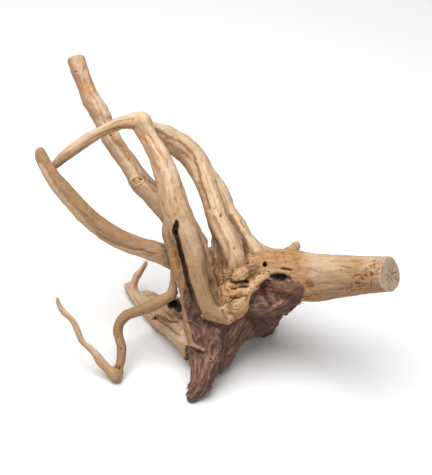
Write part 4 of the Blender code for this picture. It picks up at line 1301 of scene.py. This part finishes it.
def without_islands(branch, pairs):
    """Branch numbers of faces, with each branch kept in one piece. Pairs are faces that share an edge."""
    while True:
        island = islands(len(branch), pairs[branch[pairs[:, 0]] == branch[pairs[:, 1]]])
        size = np.bincount(island, minlength=len(branch))
        main = [np.where(branch == number, size[island], 0).argmax() for number in range(len(BRANCH_NAMES))]
        astray = island != island[np.array(main)][branch]
        if not astray.any():
            return branch
        links = np.concatenate([pairs, pairs[:, ::-1]])
        links = links[astray[links[:, 0]] & ~astray[links[:, 1]]]
        if not len(links):
            raise RuntimeError("a part of the skin touches no branch")
        branch = branch.copy()
        branch[links[:, 0]] = branch[links[:, 1]]


def without_crumbs(mesh):
    """A mesh's largest skin alone."""
    island = islands(len(mesh.vertices), read(mesh.edges, "vertices", 2, np.int32))
    main = np.bincount(island).argmax()
    shape = bmesh.new()
    shape.from_mesh(mesh)
    shape.verts.ensure_lookup_table()
    crumbs = [shape.verts[number] for number in np.nonzero(island != main)[0].tolist()]
    bmesh.ops.delete(shape, geom=crumbs, context="VERTS")
    shape.to_mesh(mesh)
    shape.free()
    return mesh


def read(items, field, width=1, kind=np.float32):
    """One field of a mesh's items as an array, with a row for each item where it has several numbers."""
    found = np.empty(len(items) * width, kind)
    items.foreach_get(field, found)
    return found.reshape(-1, width) if width > 1 else found


def quads(mesh):
    """The four corners of each of a mesh's faces."""
    return read(mesh.loops, "vertex_index", 1, np.int32).reshape(-1, 4)


def add_field(mesh, name, values):
    """A number or a direction at each point of a mesh."""
    kind = "FLOAT" if values.ndim == 1 else "FLOAT_VECTOR"
    layer = mesh.attributes.new(name, kind, "POINT")
    layer.data.foreach_set("value" if values.ndim == 1 else "vector", values.astype(np.float32).ravel())


def grow_skin(shape):
    """The whole driftwood's skin, weathered, with its masks and its faces' branches."""
    skin = bare_skin(shape)
    skin.name = SKIN
    points = read(skin.vertices, "co", 3).astype(float) / MM
    normals = read(skin.vertices, "normal", 3).astype(float)
    faces = quads(skin)
    branch = evened(nearest_branches(points[faces].mean(axis=1) * MM), faces, len(points), EVENING_ROUNDS)
    order = np.argsort(read(skin.loops, "edge_index", 1, np.int32), kind="stable")
    branch = without_islands(branch, (order // 4).reshape(-1, 2))
    of_point = np.zeros(len(points), int)
    of_point[faces.ravel()] = np.repeat(branch, 4)

    wear = Wear(points, normals, read(skin.edges, "vertices", 2, np.int32), of_point, shape)
    wear.find_ends()
    wear.wear_grain()
    wear.wear_burl()
    wear.wear_dark_root()
    wear.wear_marks()
    wear.wear_ends()
    low, high = (np.array(corner) / MM for corner in CAD_BOX)
    moved = np.clip(points + normals * wear.height[:, None], low, high)
    skin.vertices.foreach_set("co", (moved * MM).astype(np.float32).ravel())
    skin.update()
    normals = read(skin.vertices, "normal", 3).astype(float)
    wear.find_hollows(moved, normals)

    for name in FIELDS:
        add_field(skin, name, np.clip(getattr(wear, name), 0, LARGEST_MARK))
    add_field(skin, "torn", wear.torn())
    add_field(skin, "grain", wear.grain.place[:, 0] + wear.grain.wander * 1.5)
    add_field(skin, "along", wear.grain.along)
    add_field(skin, "skin_normal", normals)
    layer = skin.attributes.new("branch", "INT", "FACE")
    layer.data.foreach_set("value", branch.astype(np.int32))


def open_rims(faces, count):
    """The open edges of a skin of quads as closed rings of points, in the order its faces have them."""
    starts = faces.ravel()
    ends = np.roll(faces, -1, axis=1).ravel()
    lone = ~np.isin(starts * count + ends, ends * count + starts)
    onward = {}
    for start, end in zip(starts[lone].tolist(), ends[lone].tolist()):
        onward.setdefault(start, []).append(end)
    rims = []
    while onward:
        first = next(iter(onward))
        rim = [first]
        while True:
            choices = onward[rim[-1]]
            step = choices.pop()
            if not choices:
                del onward[rim[-1]]
            if step == first:
                break
            rim.append(step)
        rims.append(rim)
    return rims


def branch_piece(name, material):
    """The part of the skin that belongs to one branch, closed where it meets the others."""
    skin = bpy.data.meshes[SKIN]
    branch = read(skin.attributes["branch"].data, "value", 1, np.int32)
    kept, own = np.unique(quads(skin)[branch == BRANCH_NAMES.index(name)], return_inverse=True)
    own = own.reshape(-1, 4)
    points = read(skin.vertices, "co", 3).astype(float)[kept]
    normals = read(skin.attributes["skin_normal"].data, "vector", 3)
    lids = []
    for rim in open_rims(own, len(kept)):
        ring = points[rim]
        inward = -normals[kept[rim]]
        reach = np.minimum(LID_DEPTH * MM, LID_SHARE * np.linalg.norm(ring - ring.mean(axis=0), axis=1))
        collar = ring + inward * reach[:, None]
        middle = collar.mean(axis=0) + inward.mean(axis=0) * 2 * LID_DEPTH * MM
        low = len(points)
        points = np.concatenate([points, collar, [middle]])
        kept = np.concatenate([kept, kept[rim], kept[rim[:1]]])
        for step, (before, after) in enumerate(zip(rim, [*rim[1:], rim[0]])):
            inner = (low + step, low + (step + 1) % len(rim))
            lids += [(after, before, *inner), (inner[1], inner[0], low + len(rim))]
    mesh = bpy.data.meshes.new(f"{name}_bark")
    mesh.from_pydata(points.tolist(), [], [*own.tolist(), *lids])
    for field in FIELDS:
        add_field(mesh, field, read(skin.attributes[field].data, "value")[kept])
    for field in ("grain", "along"):
        add_field(mesh, field, read(skin.attributes[field].data, "vector", 3)[kept])
    mesh.shade_smooth()
    mesh.normals_split_custom_set_from_vertices(normals[kept].tolist())
    mesh.materials.append(material)
    piece = placed(f"{name}_bark", mesh)
    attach(piece, "root")
    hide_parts(name)


class Socket:
    """A socket that carries a number. Sums on it add Math nodes to its tree."""

    def __init__(self, tree, socket):
        self.tree = tree
        self.socket = socket

    def math(self, operation, *values, clamp=False):
        return self.tree.add("ShaderNodeMath", {"operation": operation, "use_clamp": clamp}, *values)

    def __add__(self, other):
        return self.math("ADD", self, other)

    def __radd__(self, other):
        return self.math("ADD", other, self)

    def __sub__(self, other):
        return self.math("SUBTRACT", self, other)

    def __rsub__(self, other):
        return self.math("SUBTRACT", other, self)

    def __mul__(self, other):
        return self.math("MULTIPLY", self, other)

    def __rmul__(self, other):
        return self.math("MULTIPLY", other, self)

    def sine(self):
        return self.math("SINE", self)

    def within(self):
        """The number, held between 0 and 1."""
        return self.math("ADD", self, 0, clamp=True)

    def rise(self, low, high):
        """0 at low, 1 at high, and a smooth rise between."""
        settings = {"interpolation_type": "SMOOTHSTEP"}
        return self.tree.add("ShaderNodeMapRange", settings, self, low, high, 0, 1)


class Tree:
    """Adds nodes to one node tree."""

    def __init__(self, nodes):
        self.nodes = nodes.nodes
        self.links = nodes.links

    def feed(self, value, socket):
        """Gives a socket a value: a link from another socket, or a plain one."""
        if isinstance(value, Socket):
            value = value.socket
        if isinstance(value, bpy.types.NodeSocket):
            self.links.new(value, socket)
        else:
            socket.default_value = value

    def add(self, kind, settings, *values, output=0, **named):
        """A new node's output. Values go to its sockets in order, or by name, after its settings."""
        node = self.nodes.new(kind)
        for setting, value in settings.items():
            setattr(node, setting, value)
        for socket, value in zip([socket for socket in node.inputs if socket.enabled], values):
            self.feed(value, socket)
        for key, value in named.items():
            self.feed(value, node.inputs[key.replace("_", " ")])
        return Socket(self, node.outputs[output])

    def mix(self, share, first, second, blend="MIX"):
        """One colour laid over another."""
        settings = {"data_type": "RGBA", "blend_type": blend, "clamp_factor": True}
        return self.add("ShaderNodeMix", settings, share, first, second, output=2)

    def mark(self, field, output):
        """One of the skin's fields: output 1 is a direction, and output 2 is a number."""
        return self.add("ShaderNodeAttribute", {"attribute_name": field}, output=output)

    def noise(self, place, scale, detail, roughness):
        """Noise from 0 to 1."""
        sizes = {"Scale": scale, "Detail": detail, "Roughness": roughness}
        return self.add("ShaderNodeTexNoise", {}, Vector=place, **sizes)


def drawn_out(tree, grain, wide, long, detail):
    """Noise from 0 to 1, drawn out along the grain. Sizes are in millimetres."""
    sizes = (1 / wide, 1 / wide, 1 / long)
    cells = tree.add("ShaderNodeVectorMath", {"operation": "MULTIPLY"}, grain, sizes)
    return tree.noise(cells, 1, detail, 0.6)


def new_finish(name):
    """A material with its tree and its shader's sockets."""
    made = bpy.data.materials.new(name)
    made.use_nodes = True
    return made, Tree(made.node_tree), made.node_tree.nodes["Principled BSDF"].inputs


def wood_finish(name, colours):
    """Weathered wood whose colour follows the marks on the skin: those the weather has left, and painted
    light and shade.
    """
    made, tree, shader = new_finish(name)
    shader["Specular IOR Level"].default_value = 0.28
    marks = {field: tree.mark(field, 2) for field in FIELDS}
    grain = tree.mark("grain", 1)
    place = tree.add("ShaderNodeTexCoord", {}, output=3)
    colour = {key: (*getattr(colours, key), 1) for key in colours.__annotations__}
    hair, thread, broad = (drawn_out(tree, grain, *sizes) for sizes in GRAIN_SIZES)
    cloud = tree.noise(place, *CLOUDS)
    speck = tree.noise(place, *SPECKS)
    light, crest, stain, streak, rust = map(marks.get, ("bleached", "crest", "stain", "streak", "rust"))

    # Painted light: the lighter colour on surfaces that face up, most on their crests
    bright = (cloud.rise(0.38, 0.66) * 0.5 + crest * 0.3) * light + light.rise(0.75, 1) * 0.28
    sound = tree.mix(bright, colour["tan"], colour["pale"])
    # Less grey where the painted light is brightest
    greyed = marks["greyed"] * (0.5 + 0.6 * broad) * (1 - 0.5 * light.rise(0.84, 1))
    sound = tree.mix(greyed, sound, colour["greyed"])
    # Painted shade on surfaces that face down and on parts in shade
    sound = tree.mix((1 - light) * (0.45 + 0.5 * cloud), sound, colour["underside"])
    golden = tree.mix(crest * 0.3 + cloud.rise(0.4, 0.7) * 0.12, colour["golden"], colour["pale"])
    sound = tree.mix(marks["burl"] * 0.92, sound, golden)
    # Orange stains, and the lighter part of the painted shade in creases, holes and recesses
    honeyed = streak * (0.15 + 0.5 * thread.rise(0.35, 0.65)) + stain * 0.75
    sound = tree.mix((honeyed + speck.rise(0.62, 0.75) * streak * 0.4).within(), sound, colour["honey"])
    sound = tree.mix(rust * 0.6, sound, colour["rust"])

    # Paler fibre crests of the dark wood, and painted light where it faces up
    fibres_and_light = marks["dark_pale"] * (0.45 + 0.9 * thread.rise(0.4, 0.7)) * (0.35 + 0.75 * light) + 0.26 * light
    dim = tree.mix(fibres_and_light, colour["dark"], colour["dark_pale"])
    # Red-brown on the dark wood, with a painted highlight along the lobe's top
    dim = tree.mix(broad.rise(0.55, 0.75) * 0.3 + rust * 0.55, dim, colour["rust"])
    wood = tree.mix(marks["dark"].rise(0.3, 0.7), sound, dim)

    spots = speck.rise(0.45, 0.7) * 0.5 + cloud.rise(0.45, 0.65) * 0.3
    end = tree.mix(spots, colour["sawn"], colour["honey"])
    rings = (marks["ring"] * 2.6 + cloud * 6).sine()
    end = tree.mix(rings.rise(0.2, 1) * 0.14, end, colour["honey"])
    wood = tree.mix(marks["sawn"], wood, end)
    # Painted shade in hollows, creases, holes and cracks, and the darkest stains
    shade_and_deep_stain = (marks["hollow"] * 0.68 + stain.rise(0.8, 1.35) * 0.95).within()
    wood = tree.mix(shade_and_deep_stain, wood, colour["hollow"])
    # Painted shadow in the slot, the root's pocket and the top of the crack
    wood = tree.mix(stain.rise(1.3, 1.7) * 0.95, wood, colour["shadow"])
    wood = tree.mix(1, wood, 0.42 + 0.5 * hair + 0.48 * thread + 0.26 * speck, "MULTIPLY")
    tree.feed(wood, shader["Base Color"])

    tree.feed(0.62 + 0.2 * hair - 0.12 * crest + 0.1 * marks["sawn"], shader["Roughness"])
    relief = 0.55 * hair + 0.9 * thread * (1 - marks["sawn"]) + 0.35 * speck
    tree.feed(tree.add("ShaderNodeBump", {}, Strength=0.7, Distance=0.001, Height=relief), shader["Normal"])
    return made


def finish_of(slot):
    """The material of a slot, made when it is first asked for."""
    name = f"weathered_{slot}"
    return bpy.data.materials.get(name) or wood_finish(name, bpy.context.scene.driftwood_colours)


def splinter_nodes():
    """A tree that sows slivers of wood over a skin, lying along its grain."""
    group = bpy.data.node_groups.new("splinters", "GeometryNodeTree")
    group.interface.new_socket("Skin", in_out="INPUT", socket_type="NodeSocketGeometry")
    for name, (kind, default) in SPLINTER_INPUTS.items():
        group.interface.new_socket(name, in_out="INPUT", socket_type=kind).default_value = default
    group.interface.new_socket("Wood", in_out="INPUT", socket_type="NodeSocketMaterial")
    group.interface.new_socket("Splinters", in_out="OUTPUT", socket_type="NodeSocketGeometry")
    tree = Tree(group)
    inlet = group.nodes.new("NodeGroupInput").outputs
    torn = tree.add("GeometryNodeInputNamedAttribute", {"data_type": "FLOAT"}, "torn")
    sown = group.nodes.new("GeometryNodeDistributePointsOnFaces")
    tree.feed(inlet["Skin"], sown.inputs["Mesh"])
    tree.feed(torn * Socket(tree, inlet["Density"]), sown.inputs["Density"])
    tree.feed(inlet["Seed"], sown.inputs["Seed"])
    along = tree.add("GeometryNodeInputNamedAttribute", {"data_type": "FLOAT_VECTOR"}, "along")
    normal = sown.outputs["Normal"]
    lift = tree.add("ShaderNodeVectorMath", {"operation": "SCALE"}, normal, Scale=inlet["Lift"])
    course = tree.add("ShaderNodeVectorMath", {"operation": "ADD"}, along, lift)
    turn = tree.add("FunctionNodeAlignRotationToVector", {"axis": "Z"}, Vector=course)
    size = tree.add(
        "FunctionNodeRandomValue", {"data_type": "FLOAT_VECTOR"}, *SLIVER_SCALES, Seed=inlet["Seed"]
    )
    sliver = tree.add(
        "GeometryNodeMeshCone", {"fill_type": "NGON"}, Vertices=5, Radius_Top=SLIVER_POINT * MM,
        Radius_Bottom=inlet["Width"], Depth=inlet["Length"],
    )
    laid = tree.add(
        "GeometryNodeInstanceOnPoints", {}, Points=sown.outputs["Points"], Instance=sliver, Rotation=turn,
        Scale=size,
    )
    real = tree.add("GeometryNodeRealizeInstances", {}, laid)
    wooden = tree.add("GeometryNodeSetMaterial", {}, real, Material=inlet["Wood"])
    tree.feed(wooden, group.nodes.new("NodeGroupOutput").inputs[0])
    return group


def grow_splinters():
    """Torn slivers on the dark root, along its border and on the chipped bark."""
    thing = placed("splinters", bpy.data.meshes[SKIN])
    sow = thing.modifiers.new("sow", "NODES")
    sow.node_group = splinter_nodes()
    sockets = sow.node_group.interface.items_tree
    inputs = {item.name: item.identifier for item in sockets if item.in_out == "INPUT"}
    sow[inputs["Seed"]] = bpy.context.scene.driftwood_shape.seed
    sow[inputs["Wood"]] = finish_of("dark_root_wood")
    mesh = finished(thing)
    points = np.clip(read(mesh.vertices, "co", 3).astype(float), *CAD_BOX)
    mesh.vertices.foreach_set("co", points.astype(np.float32).ravel())
    for name in [name for name in ("branch", "skin_normal", "torn") if name in mesh.attributes]:
        mesh.attributes.remove(mesh.attributes[name])
    piece = placed("splinters", mesh)
    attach(piece, "root")


def floor_finish(colour):
    """Matt pale studio floor with a faint unevenness."""
    made, tree, shader = new_finish("pale_floor")
    cloud = tree.noise(tree.add("ShaderNodeTexCoord", {}, output=3), 3, 2, 0.5)
    tree.feed(tree.mix(cloud * 0.04, (*colour, 1), (1, 1, 1, 1)), shader["Base Color"])
    shader["Roughness"].default_value = 0.9
    shader["Specular IOR Level"].default_value = 0.1
    return made


def soft_light(name, spot, size, power):
    """A large square lamp that looks at the wood."""
    lamp = bpy.data.lights.new(name, "AREA")
    lamp.size = size
    lamp.energy = power
    made = placed(name, lamp)
    made.location = spot
    made.rotation_mode = "QUATERNION"
    made.rotation_quaternion = (Vector(spot) - Vector(LIGHT_AIM)).to_track_quat("Z", "Y")


def set_stage(studio):
    """The floor, the lights, the room and the camera at the photograph's angle."""
    shape = bmesh.new()
    bmesh.ops.create_grid(shape, x_segments=8, y_segments=8, size=FLOOR_SIZE)
    mesh = bpy.data.meshes.new("floor")
    shape.to_mesh(mesh)
    shape.free()
    mesh.materials.append(floor_finish(studio.floor))
    placed("floor", mesh)

    for name, (spot, size, share) in LIGHTS.items():
        soft_light(name, spot, size, studio.key * share)
    world = bpy.data.worlds.new("room")
    world.use_nodes = True
    backdrop = world.node_tree.nodes["Background"].inputs
    backdrop["Color"].default_value = (1, 1, 1, 1)
    backdrop["Strength"].default_value = studio.fill
    bpy.context.scene.world = world
    bpy.context.scene.view_settings.view_transform = "Standard"

    lens = bpy.data.cameras.new("camera")
    lens.sensor_width = SENSOR
    lens.lens = SENSOR * EYE_DISTANCE / max(PHOTO_WIDTH, PHOTO_HEIGHT)
    camera = placed("camera", lens)
    toward = turned(0, 0, 1)
    camera.location = at(*PHOTO_MIDDLE, 0) + toward * EYE_DISTANCE * MM
    camera.rotation_mode = "QUATERNION"
    camera.rotation_quaternion = toward.to_track_quat("Z", "Y")
    bpy.context.scene.camera = camera


class DRIFTWOOD_OT_grow(bpy.types.Operator):
    """Grow the whole driftwood's skin and let the weather wear it"""

    bl_idname = "driftwood.grow"
    bl_label = "Grow the Skin"

    def execute(self, context):
        grow_skin(context.scene.driftwood_shape)
        return {"FINISHED"}


class BranchMaker:
    """Takes its branches out of the grown skin."""

    branches = ()

    def execute(self, context):
        for name in self.branches:
            branch_piece(name, finish_of(BRANCHES[name][0]))
        return {"FINISHED"}


class DRIFTWOOD_OT_trunk(BranchMaker, bpy.types.Operator):
    """Make the sawn root stock"""

    bl_idname = "driftwood.trunk"
    bl_label = "Trunk"
    branches = ("trunk",)


class DRIFTWOOD_OT_crown(BranchMaker, bpy.types.Operator):
    """Make the knotty golden crown"""

    bl_idname = "driftwood.crown"
    bl_label = "Crown"
    branches = ("crown",)


class DRIFTWOOD_OT_dark_root(BranchMaker, bpy.types.Operator):
    """Make the dark root that the wood stands on"""

    bl_idname = "driftwood.dark_root"
    bl_label = "Dark Root"
    branches = ("dark_root",)


class DRIFTWOOD_OT_arches(BranchMaker, bpy.types.Operator):
    """Make the front arch with its tip, and the back arch"""

    bl_idname = "driftwood.arches"
    bl_label = "Arches"
    branches = ("front_arch", "arch_tip", "back_arch")


class DRIFTWOOD_OT_branches(BranchMaker, bpy.types.Operator):
    """Make the tall sawn branch and the left branch"""

    bl_idname = "driftwood.branches"
    bl_label = "Branches"
    branches = ("tall_branch", "left_branch")


class DRIFTWOOD_OT_low_root(BranchMaker, bpy.types.Operator):
    """Make the low root behind the dark one"""

    bl_idname = "driftwood.low_root"
    bl_label = "Low Root"
    branches = ("low_root",)


class DRIFTWOOD_OT_twigs(BranchMaker, bpy.types.Operator):
    """Make the hooked twig and its tip"""

    bl_idname = "driftwood.twigs"
    bl_label = "Twigs"
    branches = ("hooked_twig", "twig_tip")


class DRIFTWOOD_OT_splinters(bpy.types.Operator):
    """Sow torn slivers over the rough wood"""

    bl_idname = "driftwood.splinters"
    bl_label = "Splinters"

    def execute(self, context):
        grow_splinters()
        return {"FINISHED"}


class DRIFTWOOD_OT_stage(bpy.types.Operator):
    """Set the floor, the lights and the camera"""

    bl_idname = "driftwood.stage"
    bl_label = "Stage"

    def execute(self, context):
        set_stage(context.scene.driftwood_studio)
        return {"FINISHED"}


OPERATORS = (
    DRIFTWOOD_OT_grow, DRIFTWOOD_OT_trunk, DRIFTWOOD_OT_crown, DRIFTWOOD_OT_dark_root,
    DRIFTWOOD_OT_arches, DRIFTWOOD_OT_branches, DRIFTWOOD_OT_low_root, DRIFTWOOD_OT_twigs,
    DRIFTWOOD_OT_splinters, DRIFTWOOD_OT_stage,
)


class DRIFTWOOD_PT_panel(bpy.types.Panel):
    """Everything the driftwood is made with"""

    bl_label = "Aquarium Driftwood"
    bl_idname = "DRIFTWOOD_PT_panel"
    bl_space_type = "VIEW_3D"
    bl_region_type = "UI"
    bl_category = "Driftwood"

    def draw(self, context):
        layout = self.layout
        for operator in OPERATORS:
            layout.operator(operator.bl_idname)
        for settings in (
            context.scene.driftwood_shape, context.scene.driftwood_colours, context.scene.driftwood_studio,
        ):
            box = layout.box()
            for name in settings.__annotations__:
                box.prop(settings, name)


CLASSES = (DriftwoodShape, DriftwoodColours, DriftwoodStudio, *OPERATORS, DRIFTWOOD_PT_panel)


def register():
    for kind in CLASSES:
        bpy.utils.register_class(kind)
    bpy.types.Scene.driftwood_shape = bpy.props.PointerProperty(type=DriftwoodShape)
    bpy.types.Scene.driftwood_colours = bpy.props.PointerProperty(type=DriftwoodColours)
    bpy.types.Scene.driftwood_studio = bpy.props.PointerProperty(type=DriftwoodStudio)


def unregister():
    del bpy.types.Scene.driftwood_studio
    del bpy.types.Scene.driftwood_colours
    del bpy.types.Scene.driftwood_shape
    for kind in reversed(CLASSES):
        bpy.utils.unregister_class(kind)


def main():
    register()
    bpy.ops.driftwood.grow()
    bpy.ops.driftwood.trunk()
    bpy.ops.driftwood.crown()
    bpy.ops.driftwood.dark_root()
    bpy.ops.driftwood.arches()
    bpy.ops.driftwood.branches()
    bpy.ops.driftwood.low_root()
    bpy.ops.driftwood.twigs()
    bpy.ops.driftwood.splinters()
    bpy.ops.driftwood.stage()
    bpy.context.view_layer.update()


if __name__ == "__main__":
    main()
